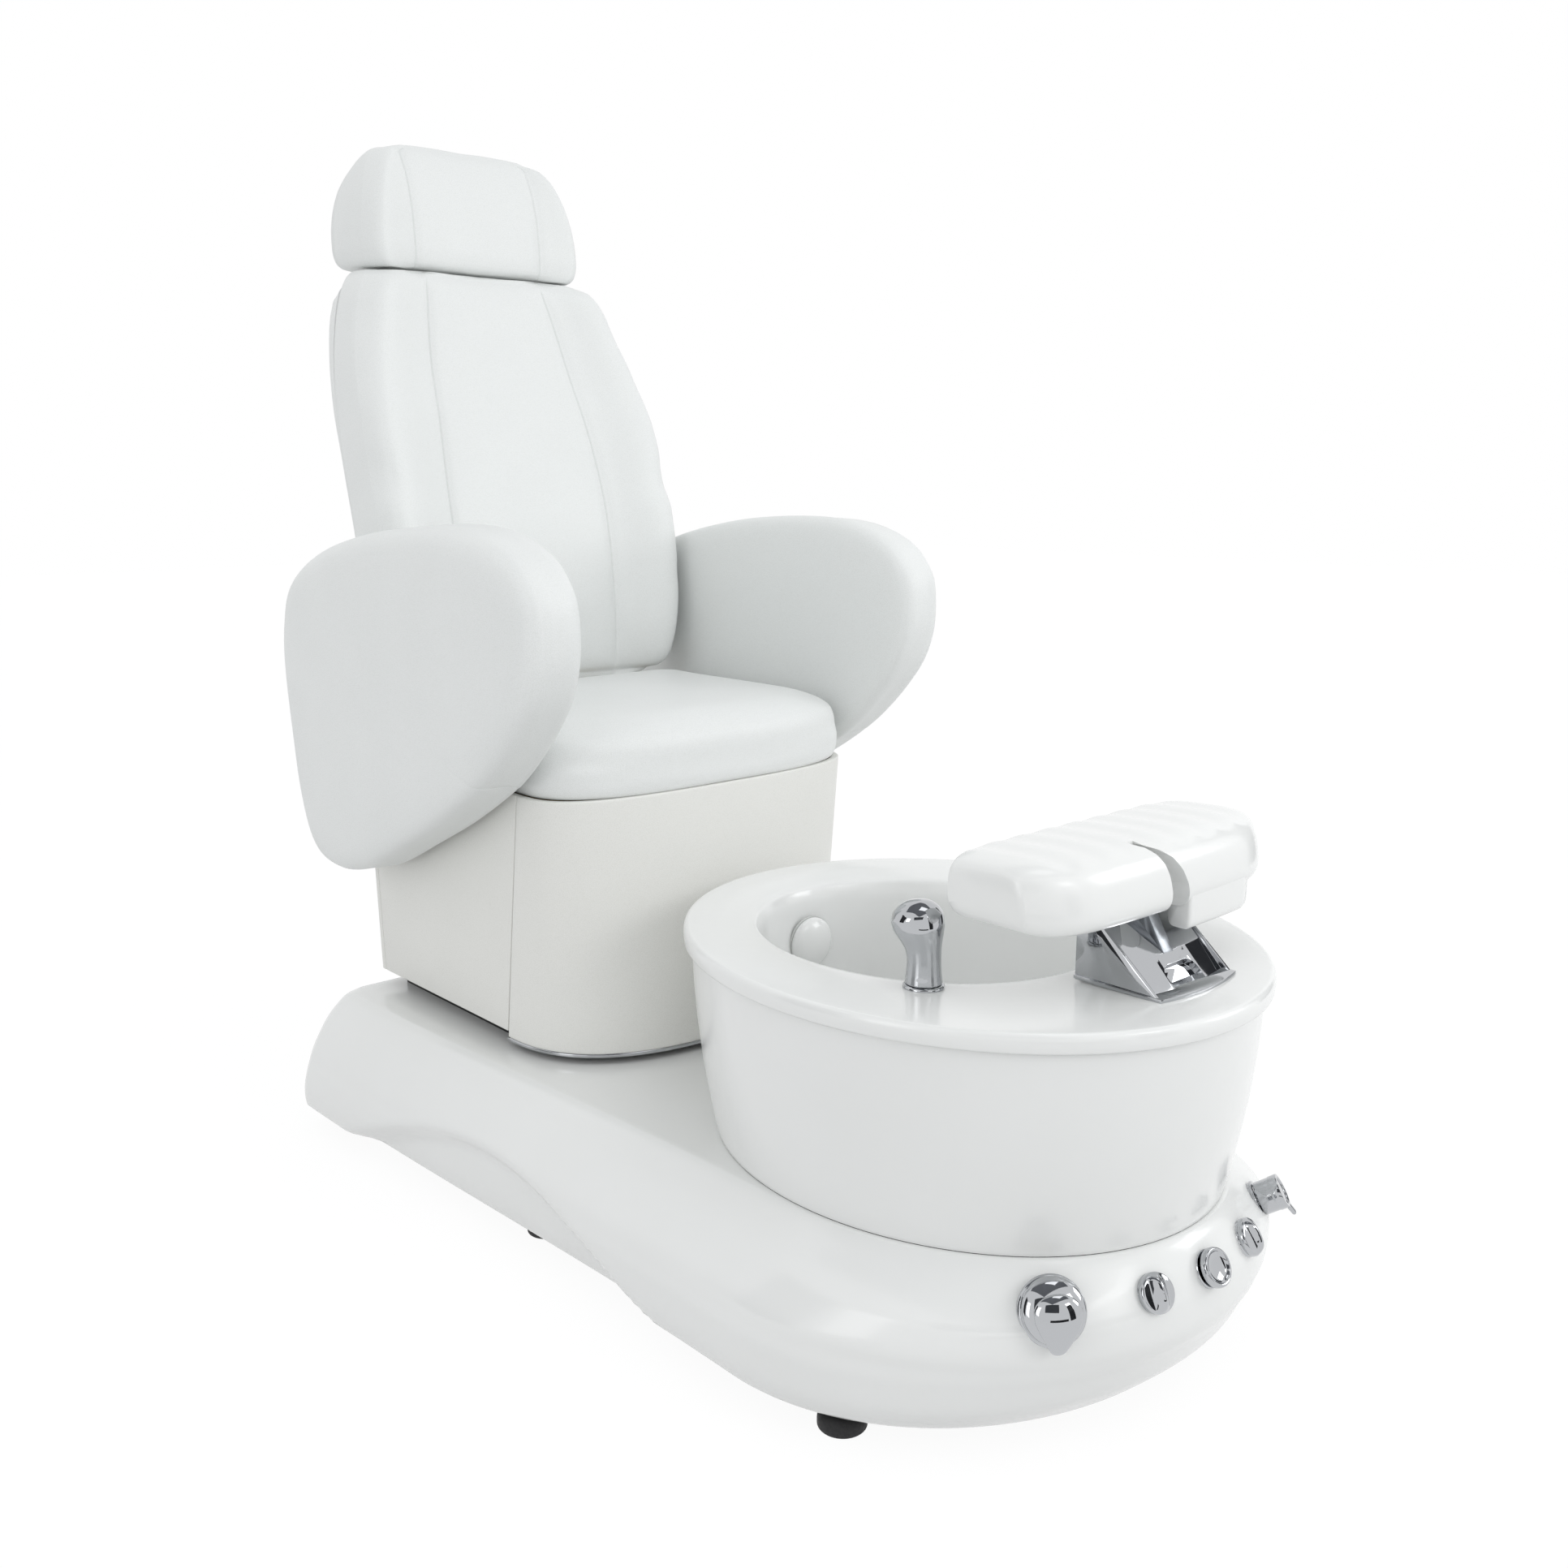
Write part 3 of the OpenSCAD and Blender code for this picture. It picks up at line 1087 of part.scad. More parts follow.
base_shell();
base_frame();
foot_studs();
foot_pads();
deck_plinth();
inlet_unions();
cable_gland();
tub_skirt();
tub_gasket();
tub_basin();
drain_body();
drain_strainer();
drain_stopper();
drain_elbow();
jet_housing();
jet_motor();
jet_impeller();
jet_cover();
spout_base();
spout_swivel();
rest_bracket();
rest_bolts();
rest_pin();
rest_arm();
rest_pad();
rest_grip();
tap_valve();
tap_escutcheon();
tap_turret();
tap_lever();
knob_bezels();
knob_valves();
diverter_knob();
jet_button();
drain_knob();
spray_socket();
spray_head();
spray_lever();
seat_frame();
box_front();
box_side_right();
box_side_left();
box_rear_panel();
box_trim();
seat_board();
seat_cushion();
recline_brackets();
recline_pins();
back_frame();
back_board();
back_cushion();
back_cover();
post_guides();
head_posts();
head_cushion();
arm_bolts();
arm_board_right();
arm_board_left();
arm_pad_right();
arm_pad_left();
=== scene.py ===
# %% [markdown]
# # A pedicure spa chair
# The real chair is white vinyl over foam, white gelcoat over glass fibre, and bright chrome fittings.
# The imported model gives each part's place, so every piece below is made in that frame. Sizes are
# written in millimetres, as on a drawing, and one helper turns them into Blender's metres.

# %% Load the frame
import json
import math

import bpy
import numpy as np
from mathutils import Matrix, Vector


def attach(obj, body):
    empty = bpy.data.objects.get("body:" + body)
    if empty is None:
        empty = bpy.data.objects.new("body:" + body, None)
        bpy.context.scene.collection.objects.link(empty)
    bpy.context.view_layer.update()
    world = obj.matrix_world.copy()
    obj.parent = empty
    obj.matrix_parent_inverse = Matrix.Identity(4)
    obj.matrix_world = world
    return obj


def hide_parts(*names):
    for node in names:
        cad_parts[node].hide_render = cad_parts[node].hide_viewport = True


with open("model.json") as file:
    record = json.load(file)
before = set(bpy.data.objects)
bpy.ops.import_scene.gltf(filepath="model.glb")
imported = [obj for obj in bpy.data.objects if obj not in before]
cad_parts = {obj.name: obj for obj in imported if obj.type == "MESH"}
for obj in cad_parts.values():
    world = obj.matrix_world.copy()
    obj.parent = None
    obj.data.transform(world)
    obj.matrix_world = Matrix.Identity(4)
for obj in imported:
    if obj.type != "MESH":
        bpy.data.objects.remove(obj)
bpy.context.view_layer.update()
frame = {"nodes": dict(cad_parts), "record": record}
nodes = frame["nodes"]
scene = bpy.context.scene
MM = 0.001

# %% [markdown]
# ## Camera
# A catalogue view from the tub's side, a little above the rim. The focal length is that of a short
# standard lens on a 36 mm sensor, and the two angles are the way it turns and tips from level.

# %% Camera
CAMERA_PLACE = (-1.2408, -1.4574, 0.9484)
CAMERA_TURN = math.radians(42.045)
CAMERA_TIP = math.radians(11.684)
lens = bpy.data.cameras.new("camera")
lens.lens = 34.39
lens.sensor_width = 36
camera = bpy.data.objects.new("camera", lens)
camera.location = CAMERA_PLACE
camera.rotation_euler = (math.pi / 2 - CAMERA_TIP, 0, -CAMERA_TURN)
scene.collection.objects.link(camera)
scene.camera = camera
print("camera", round(lens.lens, 2), "mm")

# %% [markdown]
# ## Colours and nodes
# Paint colours are written as sRGB hex, the way a designer notes them, and turned to the linear values
# that light is computed in. Nodes could be placed by hand in the shader editor. In a script it is
# shorter to have one helper that adds a node with its settings and links, and one that feeds the shader.


# %% Colour and node helpers
def linear(code):
    parts = [int(code[i:i + 2], 16) / 255 for i in (1, 3, 5)]
    return tuple(c / 12.92 if c <= 0.04045 else ((c + 0.055) / 1.055) ** 2.4 for c in parts) + (1,)


def add(tree, kind, links=None, **settings):
    """Adds a node: settings are its options or, by socket name with spaces as underscores, its values."""
    item = tree.nodes.new("ShaderNode" + kind)
    for key, value in settings.items():
        if hasattr(item, key):
            setattr(item, key, value)
        else:
            item.inputs[key.replace("_", " ")].default_value = value
    for socket, (source, output) in (links or {}).items():
        tree.links.new(source.outputs[output], item.inputs[socket])
    return item


def start_material(name, **settings):
    made = bpy.data.materials.new(name)
    made.use_nodes = True
    tree = made.node_tree
    tree.nodes.clear()
    shader = add(tree, "BsdfPrincipled", **settings)
    add(tree, "OutputMaterial", {"Surface": (shader, "BSDF")})
    return made, tree, shader


def feed(tree, shader, **sources):
    """Links node outputs into the shader: Base_Color=(node, "Color") and so on."""
    for socket, (source, output) in sources.items():
        tree.links.new(source.outputs[output], shader.inputs[socket.replace("_", " ")])


def per_metre(size_mm):
    """Noise scale for features of that size."""
    return 1000 / size_mm


# %% [markdown]
# ## Gelcoat
# The base, the tub and the footrest are glass fibre laid up in a polished mould, so their skin is a
# glossy polyester gelcoat. It is hard and smooth with a faint orange peel that bends reflections
# slowly, and a thin film of handling haze that changes the gloss from place to place. Painted textures
# could show both, but noise in object space needs no unwrapping and keeps one scale on every moulding.

# %% Gelcoat material
GELCOAT_PEEL = 14
GELCOAT_HAZE = 160


def make_gelcoat():
    made, tree, shader = start_material(
        "gelcoat_polished", Base_Color=linear("#EAEBE9"), Roughness=0.2, IOR=1.53, Coat_Weight=0.15,
        Coat_Roughness=0.06)
    place = add(tree, "TexCoord")
    haze = add(tree, "TexNoise", {"Vector": (place, "Object")}, Scale=per_metre(GELCOAT_HAZE), Detail=3.0)
    gloss = add(tree, "MapRange", {"Value": (haze, "Fac")}, From_Min=0.3, From_Max=0.7, To_Min=0.15, To_Max=0.26)
    tone = add(tree, "MixRGB", {"Fac": (haze, "Fac")}, Color1=linear("#ECEDEC"), Color2=linear("#E8E9E7"))
    peel = add(tree, "TexNoise", {"Vector": (place, "Object")}, Scale=per_metre(GELCOAT_PEEL), Detail=1.0)
    bump = add(tree, "Bump", {"Height": (peel, "Fac")}, Strength=0.05, Distance=0.0012)
    feed(tree, shader, Base_Color=(tone, "Color"), Roughness=(gloss, "Result"), Normal=(bump, "Normal"),
         Coat_Normal=(bump, "Normal"))
    return made


gelcoat = make_gelcoat()
print(gelcoat.name, "with", len(gelcoat.node_tree.nodes), "nodes")

# %% [markdown]
# ## Vinyl
# Salon upholstery is PVC-coated knit, embossed with a fine leather grain of about a millimetre, drawn
# here at 1.6 mm so that it shows in a render of the whole chair. The grain breaks highlights up into a
# soft satin. The valleys are painted a touch darker, as painted shade, and broad stretch marks pull it flat
# where the foam is tight. Cell edges from a Voronoi texture give the creases. The warp bends them, so
# that they don't look like a grid.

# %% Vinyl material
GRAIN = 1.6
GRAIN_DEPTH = 0.00012
STRETCH = 90


def make_vinyl(name, light, shade):
    made, tree, shader = start_material(
        name, Base_Color=linear(light), Roughness=0.5, IOR=1.5, Coat_Weight=0.08, Coat_Roughness=0.3)
    place = add(tree, "TexCoord")
    warp = add(tree, "TexNoise", {"Vector": (place, "Object")}, Scale=per_metre(6), Detail=2.0)
    bent = add(tree, "MixRGB", {"Color1": (place, "Object"), "Color2": (warp, "Color")}, blend_type="LINEAR_LIGHT")
    bent.inputs["Fac"].default_value = 0.0012
    cells = add(tree, "TexVoronoi", {"Vector": (bent, "Color")}, feature="DISTANCE_TO_EDGE",
                Scale=per_metre(GRAIN))
    plateau = add(tree, "MapRange", {"Value": (cells, "Distance")}, From_Min=0.0, From_Max=0.22,
                  To_Min=0.0, To_Max=1.0)
    pull = add(tree, "TexNoise", {"Vector": (place, "Object")}, Scale=per_metre(STRETCH), Detail=2.0)
    sum_ = add(tree, "Math", {0: (plateau, "Result"), 1: (pull, "Fac")}, operation="MULTIPLY")
    bump = add(tree, "Bump", {"Height": (sum_, "Value")}, Strength=0.55, Distance=GRAIN_DEPTH)
    # Painted shade: the grain's valleys are drawn a touch darker than its plateaus.
    tone = add(tree, "MixRGB", {"Fac": (plateau, "Result")}, Color1=linear(shade), Color2=linear(light))
    satin = add(tree, "MapRange", {"Value": (pull, "Fac")}, From_Min=0.3, From_Max=0.7, To_Min=0.44, To_Max=0.56)
    feed(tree, shader, Base_Color=(tone, "Color"), Roughness=(satin, "Result"), Normal=(bump, "Normal"))
    return made


vinyl = make_vinyl("vinyl_embossed", "#EBEDEC", "#E2E4E2")
vinyl_panel = make_vinyl("vinyl_panel", "#EBEBE7", "#E3E3DE")
print(vinyl.name, "with", len(vinyl.node_tree.nodes), "nodes")

# %% [markdown]
# ## Chrome
# The fittings are polished brass with bright nickel and chrome plating. Chrome has almost no colour of
# its own and mirrors the room, so its look is in its shape and in a faint smear of wiped water marks.
# The same recipe, rougher and tinted, serves for zinc-plated steel and cast brass.

# %% Chrome material
WATER_MARKS = 22


def make_metal(name, colour, low, high, mark_mm):
    made, tree, shader = start_material(name, Base_Color=linear(colour), Metallic=1.0, Roughness=low)
    place = add(tree, "TexCoord")
    marks = add(tree, "TexNoise", {"Vector": (place, "Object")}, Scale=per_metre(mark_mm), Detail=4.0)
    wiped = add(tree, "MapRange", {"Value": (marks, "Fac")}, From_Min=0.35, From_Max=0.75, To_Min=low, To_Max=high)
    bump = add(tree, "Bump", {"Height": (marks, "Fac")}, Strength=0.03, Distance=0.0004)
    feed(tree, shader, Roughness=(wiped, "Result"), Normal=(bump, "Normal"))
    return made


chrome = make_metal("chrome_plated", "#B9BBBE", 0.03, 0.07, WATER_MARKS)
zinc = make_metal("steel_zinc_plated", "#A9ADB2", 0.28, 0.42, 9)
brass = make_metal("brass_cast", "#C7A45A", 0.3, 0.5, 5)
print(chrome.name, "with", len(chrome.node_tree.nodes), "nodes")

# %% [markdown]
# ## Small-part finishes
# Rubber feet and the tub's gasket are matt and nearly black, the frame is powder-coated, the pipes are
# moulded PVC and ABS, and the boards are plywood. Each gets the speckle or grain that its making leaves.
# Fine noise serves for all the speckled ones. Plywood is the same noise, stretched along the veneer.


# %% Rubber, powder coat, plastics and plywood
def make_grained(name, dark, light, size_mm, low, high):
    made, tree, shader = start_material(name, Base_Color=linear(dark), Roughness=low)
    place = add(tree, "TexCoord")
    speck = add(tree, "TexNoise", {"Vector": (place, "Object")}, Scale=per_metre(size_mm), Detail=5.0)
    tone = add(tree, "MixRGB", {"Fac": (speck, "Fac")}, Color1=linear(dark), Color2=linear(light))
    matt = add(tree, "MapRange", {"Value": (speck, "Fac")}, From_Min=0.3, From_Max=0.7, To_Min=low, To_Max=high)
    bump = add(tree, "Bump", {"Height": (speck, "Fac")}, Strength=0.3, Distance=0.0002)
    feed(tree, shader, Base_Color=(tone, "Color"), Roughness=(matt, "Result"), Normal=(bump, "Normal"))
    return made


rubber = make_grained("rubber_moulded", "#141415", "#1E1E20", 3, 0.55, 0.75)
powder = make_grained("powder_coat_black", "#1B1C1E", "#26272A", 1.5, 0.4, 0.55)
black_abs = make_grained("abs_black", "#17181A", "#202124", 2, 0.4, 0.5)
pale_pvc = make_grained("pvc_pale_grey", "#C4C7C4", "#D2D4D1", 4, 0.35, 0.45)


def make_plywood():
    made, tree, shader = start_material("plywood_birch", Base_Color=linear("#C8A877"), Roughness=0.6)
    place = add(tree, "TexCoord")
    along = add(tree, "Mapping", {"Vector": (place, "Object")}, Scale=(8, 1, 8))
    grain = add(tree, "TexNoise", {"Vector": (along, "Vector")}, Scale=per_metre(40), Detail=6.0, Distortion=0.4)
    tone = add(tree, "MixRGB", {"Fac": (grain, "Fac")}, Color1=linear("#B8935F"), Color2=linear("#D9BE93"))
    bump = add(tree, "Bump", {"Height": (grain, "Fac")}, Strength=0.2, Distance=0.0003)
    feed(tree, shader, Base_Color=(tone, "Color"), Normal=(bump, "Normal"))
    return made


plywood = make_plywood()
PADDED = "upholstery"
FINISH = {
    PADDED: vinyl,
    "gelcoat": gelcoat, "vinyl": vinyl, "chrome": chrome, "steel": zinc, "frame_steel": powder,
    "rubber": rubber, "black_plastic": black_abs, "pipe_plastic": pale_pvc, "brass": brass, "plywood": plywood}
for entry in frame["record"]["subparts"]:
    slots = nodes[entry["node"]].data.materials
    slots.clear()
    slots.append(FINISH[entry["material_slot"]])
print(len(FINISH), "finishes")

# %% [markdown]
# ## Drawing with rings
# Moulded and upholstered forms are drawn like a boat's hull: closed outlines, or rings, are stacked
# along the form and skinned with quads. Sizes between the drawn rows come from a smooth curve that
# never overshoots, so a form stays inside the sizes it was drawn with. Sculpting could give the same
# forms, but rings keep every size in plain sight. Hard parts from the CAD are copied and get a bevel.


# %% Curves and skins
def ease(t):
    t = np.clip(t, 0, 1)
    return t * t * (3 - 2 * t)


def mix(a, b, t):
    return a + (b - a) * t


def power(v, p):
    return np.sign(v) * np.abs(v) ** p


def curve(rows):
    """A smooth function through rows of [parameter, value, ...] that keeps to their highs and lows."""
    rows = np.array(rows, float)
    x, y = rows[:, 0], rows[:, 1:]
    h = np.diff(x)[:, None]
    d = np.diff(y, axis=0) / h
    m = np.zeros_like(y)
    m[0], m[-1] = d[0], d[-1]
    turn = d[:-1] * d[1:] > 0
    a, b = 2 * h[1:] + h[:-1], h[1:] + 2 * h[:-1]
    inner = (a + b) / (a / np.where(turn, d[:-1], 1) + b / np.where(turn, d[1:], 1))
    m[1:-1] = np.where(turn, inner, 0)

    def at(t):
        t = min(max(t, x[0]), x[-1])
        i = min(int(np.searchsorted(x, t, side="right")) - 1, len(x) - 2)
        g = x[i + 1] - x[i]
        u = (t - x[i]) / g
        return (y[i] * (1 + 2 * u) * (1 - u) ** 2 + y[i + 1] * u * u * (3 - 2 * u)
                + g * (m[i] * u * (1 - u) ** 2 - m[i + 1] * u * u * (1 - u)))
    return at


def closed_curve(points, where):
    """Catmull-Rom curve through closed control points, at the given whole and part spans."""
    p = np.array(points, float)
    i = np.floor(where).astype(int)
    t = (where - i)[:, None]
    a, b, d, e = (p[(i + k) % len(p)] for k in (-1, 0, 1, 2))
    return 0.5 * (2 * b + (d - a) * t + (2 * a - 5 * b + 4 * d - e) * t * t + (3 * b - a - 3 * d + e) * t ** 3)


def mirrored(half):
    """A half outline from the rear to the front, for X from zero up, closed by its mirror image."""
    half = np.array(half, float)
    back = half[half[:, 0] > 0.05] * (-1, 1, 1)
    return np.vstack([half[::-1], back])


def link(name, points, faces):
    mesh = bpy.data.meshes.new(name)
    mesh.from_pydata([tuple(p) for p in np.asarray(points) * MM], [], faces)
    mesh.update()
    made = bpy.data.objects.new(name, mesh)
    scene.collection.objects.link(made)
    mesh.polygons.foreach_set("use_smooth", [True] * len(mesh.polygons))
    return made


def skin(name, rings, caps=(True, True), wrap=True):
    """Quads between stacked rings, with a fan of faces at each end that is capped."""
    rings = np.array(rings, float)
    m, n = rings.shape[:2]
    points = rings.reshape(-1, 3)
    last = n if wrap else n - 1
    faces = [(j * n + i, j * n + (i + 1) % n, (j + 1) * n + (i + 1) % n, (j + 1) * n + i)
             for j in range(m - 1) for i in range(last)]
    for end, (ring, base) in enumerate(((rings[0], 0), (rings[-1], (m - 1) * n))):
        if caps[end]:
            hub = len(points)
            points = np.vstack([points, ring.mean(0)])
            pairs = [(base + i, base + (i + 1) % n) for i in range(n)]
            faces += [(b, a, hub) if end == 0 else (a, b, hub) for a, b in pairs]
    return link(name, points, faces)


def prism(name, near, far):
    """A straight block between two like outlines."""
    n = len(near)
    faces = [tuple(range(n)), tuple(range(2 * n - 1, n - 1, -1))]
    faces += [(i, i + n, (i + 1) % n + n, (i + 1) % n) for i in range(n)]
    return link(name, near + far, faces)


def place(piece, body, material, slot, *replaced):
    piece.data.materials.clear()
    piece.data.materials.append(material)
    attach(piece, body)
    if replaced:
        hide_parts(*replaced)
    return piece


def modifier(piece, kind, **settings):
    made = piece.modifiers.new(kind.lower(), kind)
    for key, value in settings.items():
        setattr(made, key, value)
    return made


def weld(piece):
    modifier(piece, "WELD", merge_threshold=0.01 * MM)


def bevel(piece, width, segments, angle, **more):
    modifier(piece, "BEVEL", width=width * MM, segments=segments, limit_method="ANGLE",
             angle_limit=math.radians(angle), **more)


def applied(piece):
    """The same piece with its modifiers made part of its mesh."""
    bpy.context.view_layer.update()
    shaped = bpy.data.meshes.new_from_object(piece.evaluated_get(bpy.context.evaluated_depsgraph_get()))
    piece.modifiers.clear()
    piece.data = shaped
    return piece


def cut(piece, cutter):
    modifier(piece, "BOOLEAN", object=cutter, operation="DIFFERENCE", solver="EXACT")
    applied(piece)
    bpy.data.objects.remove(cutter)


def smooth(piece, angle):
    """Smooth shading with a crease wherever faces meet at more than the angle in degrees."""
    piece.data.polygons.foreach_set("use_smooth", [True] * len(piece.data.polygons))
    piece.data.set_sharp_from_angle(angle=math.radians(angle))


def machined(node, body, width=0.8, segments=2, angle=32):
    """A copy of a hard part with its edges broken by a small bevel, as a file or a mould leaves them."""
    source = nodes[node]
    piece = bpy.data.objects.new(node + "_edged", source.data.copy())
    scene.collection.objects.link(piece)
    weld(piece)
    modifier(piece, "DECIMATE", decimate_type="DISSOLVE", angle_limit=math.radians(0.5))
    bevel(piece, width, segments, angle, miter_outer="MITER_ARC")
    applied(piece)
    smooth(piece, 35)
    slot = next(s["material_slot"] for s in frame["record"]["subparts"] if s["node"] == node)
    return place(piece, body, FINISH[slot], slot, node)


# %% [markdown]
# ## Base
# The base is one open-bottomed moulding. Its nose swells into a collar for the controls, its sides run
# straight back to wider corners, and a shallow arch is pressed into each side. A box with a bevel could
# not follow these bulges. So rings start under the deck, go down the wall's inner face, turn at its foot,
# climb the outside and close over the deck.

# %% Base sizes
DECK = 200
GAP = 30
WALL = 5
TUB_Y = -387
BASE_ROWS = curve([
    [0.00, 56, 12, 8, 1], [0.04, 49, 5, 2, 0], [0.18, 27, 0, 0, 2], [0.35, 13, 0, 4, 6],
    [0.44, 4, 3, 8, 8], [0.53, 0, 7, 12, 11], [0.70, 2, 27, 24, 17], [0.81, 8, 44, 35, 20],
    [0.91, 18, 64, 49, 24], [0.975, 26, 77, 61, 28], [1.00, 31, 84, 72, 33]])
BASE_HALF, REAR_HALF, NOSE, REAR, CORNER = 352, 378, 344, 964, 26


def base_ring(s, wall=0.0):
    z = mix(GAP, DECK, s)
    nose_in, side_in, back_in, end_in = BASE_ROWS(s)
    e = 1 - 0.1 * max(0, 1 - abs(s - 0.72) / 0.25)
    nose, side = NOSE - nose_in - wall, BASE_HALF - side_in - wall
    back, end = REAR_HALF - back_in - wall, TUB_Y + REAR - end_in - wall
    half = []
    for a in np.radians(np.linspace(90, 0, 10)):
        half.append((back - CORNER + CORNER * math.cos(a), end - CORNER + CORNER * math.sin(a), z))
    half.insert(0, (back * 0.5, end, z))
    half.insert(0, (0, end, z))
    for i in range(1, 56):
        y = mix(end - CORNER, TUB_Y, i / 56)
        u = (y - TUB_Y - 120) / 710
        top = GAP + 100 * (math.sin(math.pi * u) if 0 < u < 1 else 0)
        half.append((mix(back, side, ease(i / 56)) - 20 * float(ease((top - z) / 30)), y, z))
    for a in np.radians(np.linspace(0, 90, 37)):
        half.append((side * power(math.cos(a), e) if a < 1.57 else 0, TUB_Y - nose * power(math.sin(a), e), z))
    return mirrored(half)


def toward_middle(ring, k, z):
    out = ring * (1, 1, 0)
    out = mix(out.mean(0), out, k)
    out[:, 2] = z
    return out


# %% Base shell
levels = np.concatenate([[0, 0.012, 0.03], np.linspace(0.06, 0.94, 30), [0.955, 0.97, 0.98, 0.988, 0.995, 1.0]])
outer = [base_ring(s) for s in levels]
deck = [toward_middle(outer[-1], k, DECK + 0.4) for k in (0.992, 0.97, 0.8, 0.5, 0.2, 0.02)]
inside = [base_ring(s, WALL) for s in np.concatenate([[0.94], np.linspace(0.9, 0.02, 34)])] + [base_ring(0, WALL)]
ceiling = [toward_middle(inside[0], k, 190) for k in (0.02, 0.5, 0.9)]
base_shell = skin("base_moulding", ceiling + inside + [base_ring(0, WALL / 2) - (0, 0, 1.2)] + outer + deck)
place(base_shell, "base", gelcoat, "gelcoat", "base_shell")
print("base", len(base_shell.data.vertices), "points")

# %% [markdown]
# ## Tub
# The tub is a basin with a broad rim, dropped into a flared skirt. Both are ovals a sixth longer than
# wide. The rim's edge is a rolled band, and a fine dark joint shows where it meets the skirt. Both are
# closed shells of even wall, because the real mouldings are thin and their undersides can be seen.

# %% Tub sizes
RIM_Z = 444
RIM_HALF = 297
OVAL = 1.171
RIM_BAND = 20
SEAM_Z = 200
BOWL_A, BOWL_B, BOWL_BACK, BOWL_DEPTH = 186, 210, 60, 212
TURN = np.radians(np.arange(0, 360, 3))


def oval(a, b, y, z):
    return np.stack([a * np.cos(TURN), TUB_Y + y + b * np.sin(TURN), np.full(len(TURN), float(z))], 1)


def lip(t, z):
    back = BOWL_BACK * float(ease((t - 0.15) / 0.85))
    return oval(mix(RIM_HALF, BOWL_A, t), mix(RIM_HALF * OVAL, BOWL_B, t), back, z)


def bowl(inset, z):
    return oval(BOWL_A - inset, BOWL_B - inset, BOWL_BACK, z)


# %% Tub skirt
SKIRT_FOOT, SKIRT_TOP, SKIRT_BULGE = 264, 289, 5
skirt_rise = RIM_Z - RIM_BAND - SEAM_Z - 2


def skirt_ring(t, less=0.0):
    r = mix(SKIRT_FOOT, SKIRT_TOP, t) + SKIRT_BULGE * math.sin(math.pi * t) - less
    return oval(r, r * OVAL, 0, SEAM_Z + 2 + skirt_rise * t)


skirt_rings = [skirt_ring(t, WALL) for t in np.linspace(1, 0, 5)] + [skirt_ring(0, 3.5) - (0, 0, 1.2)]
skirt_rings += [skirt_ring(0, 0.8) - (0, 0, 1.0), skirt_ring(0) - (0, 0, 0.2)]
skirt_rings += [skirt_ring(t) for t in np.linspace(0.02, 0.98, 25)] + [skirt_ring(1, 0.8), skirt_ring(1, 2.5)]
tub_skirt = skin("tub_skirt_moulding", skirt_rings + [skirt_rings[0]], caps=(False, False))
place(tub_skirt, "base", gelcoat, "gelcoat", "tub_skirt")
print("skirt", len(tub_skirt.data.vertices), "points")

# %% Tub basin
BOWL_ROWS = curve([[0, 96], [5, 66], [20, 42], [58, 24], [125, 11], [188, 5]])
RIM_ROWS = [
    (0.126, 20), (0.03, 20), (0.010, 19.9), (0.004, 19.3), (0, 17.5), (-0.004, 12), (-0.003, 8), (0, 5.5),
    (0.006, 3.4), (0.014, 1.8), (0.024, 0.7), (0.036, 0.1), (0.05, 0), (0.12, 0.1), (0.25, 0.5), (0.4, 1.2), (0.5, 2),
    (0.65, 3.2), (0.8, 5), (0.88, 6.2), (0.95, 7.7), (0.985, 9.2), (1, 10.4)]
basin_floor = RIM_Z - BOWL_DEPTH
climb = np.concatenate([[0.0, 2, 5, 9, 14, 20], np.linspace(30, 186, 22)])
inner_wall = [bowl(BOWL_ROWS(h)[0], basin_floor + h) for h in climb[::-1]]
outer_wall = [bowl(BOWL_ROWS(h)[0] - WALL, basin_floor - WALL + h) for h in climb[::3]]
floor_in = [bowl(mix(96, 180, k), basin_floor - 1.5 * k) for k in (0.3, 0.7, 0.98)]
basin_rings = [bowl(mix(91, 180, k), basin_floor - WALL) for k in (0.98, 0.3)] + outer_wall
basin_rings += [bowl(-7, 427), lip(0.85, 430), lip(0.14, 430)]
basin_rings += [lip(t, RIM_Z - d) for t, d in RIM_ROWS] + [bowl(1.2, 430.5), bowl(3, 426.5)] + inner_wall + floor_in
tub_basin = skin("tub_basin_moulding", basin_rings)
place(tub_basin, "base", gelcoat, "gelcoat", "tub_basin")
print("basin", len(tub_basin.data.vertices), "points")

# %% [markdown]
# ## Footrest
# The footrest is a moulded pebble with broad, shallow flutes along the tread and a crescent cleft in
# front, over a chrome bracket. Its side view is one closed curve, swept across and pinched at the ends.
# The flutes are lowered in the rings themselves. The cleft has crisp edges, so it is cut out with a
# boolean and its edges are broken by a bevel.

# %% Footrest sizes
REST_X, REST_Y, REST_W = 27, -625, 398
TREAD_Z, REST_T, REST_FRONT, REST_REAR = 589, 72, -23, 127
REST_SIDE = closed_curve([
    [122, -64], [127, -40], [124, -10], [106, -1], [60, 2], [22, 2], [-1, -3], [-15, -17],
    [-22, -38], [-23, -58], [-14, -70], [6, -72], [50, -72], [100, -72]], np.arange(0, 14, 1 / 7))
REST_END = curve([
    [0, 0], [0.3, 0], [0.6, 0.01], [0.8, 0.04], [0.89, 0.085], [0.95, 0.16], [0.985, 0.26], [1, 0.4]])
FLUTE_PITCH = 43
FLUTE_DEPTH = 1.6


def rest_bend(a):
    """How far the front edge draws back towards an end."""
    return 10 * a * a + 30 * max(0, (a - 0.55) / 0.45) ** 3


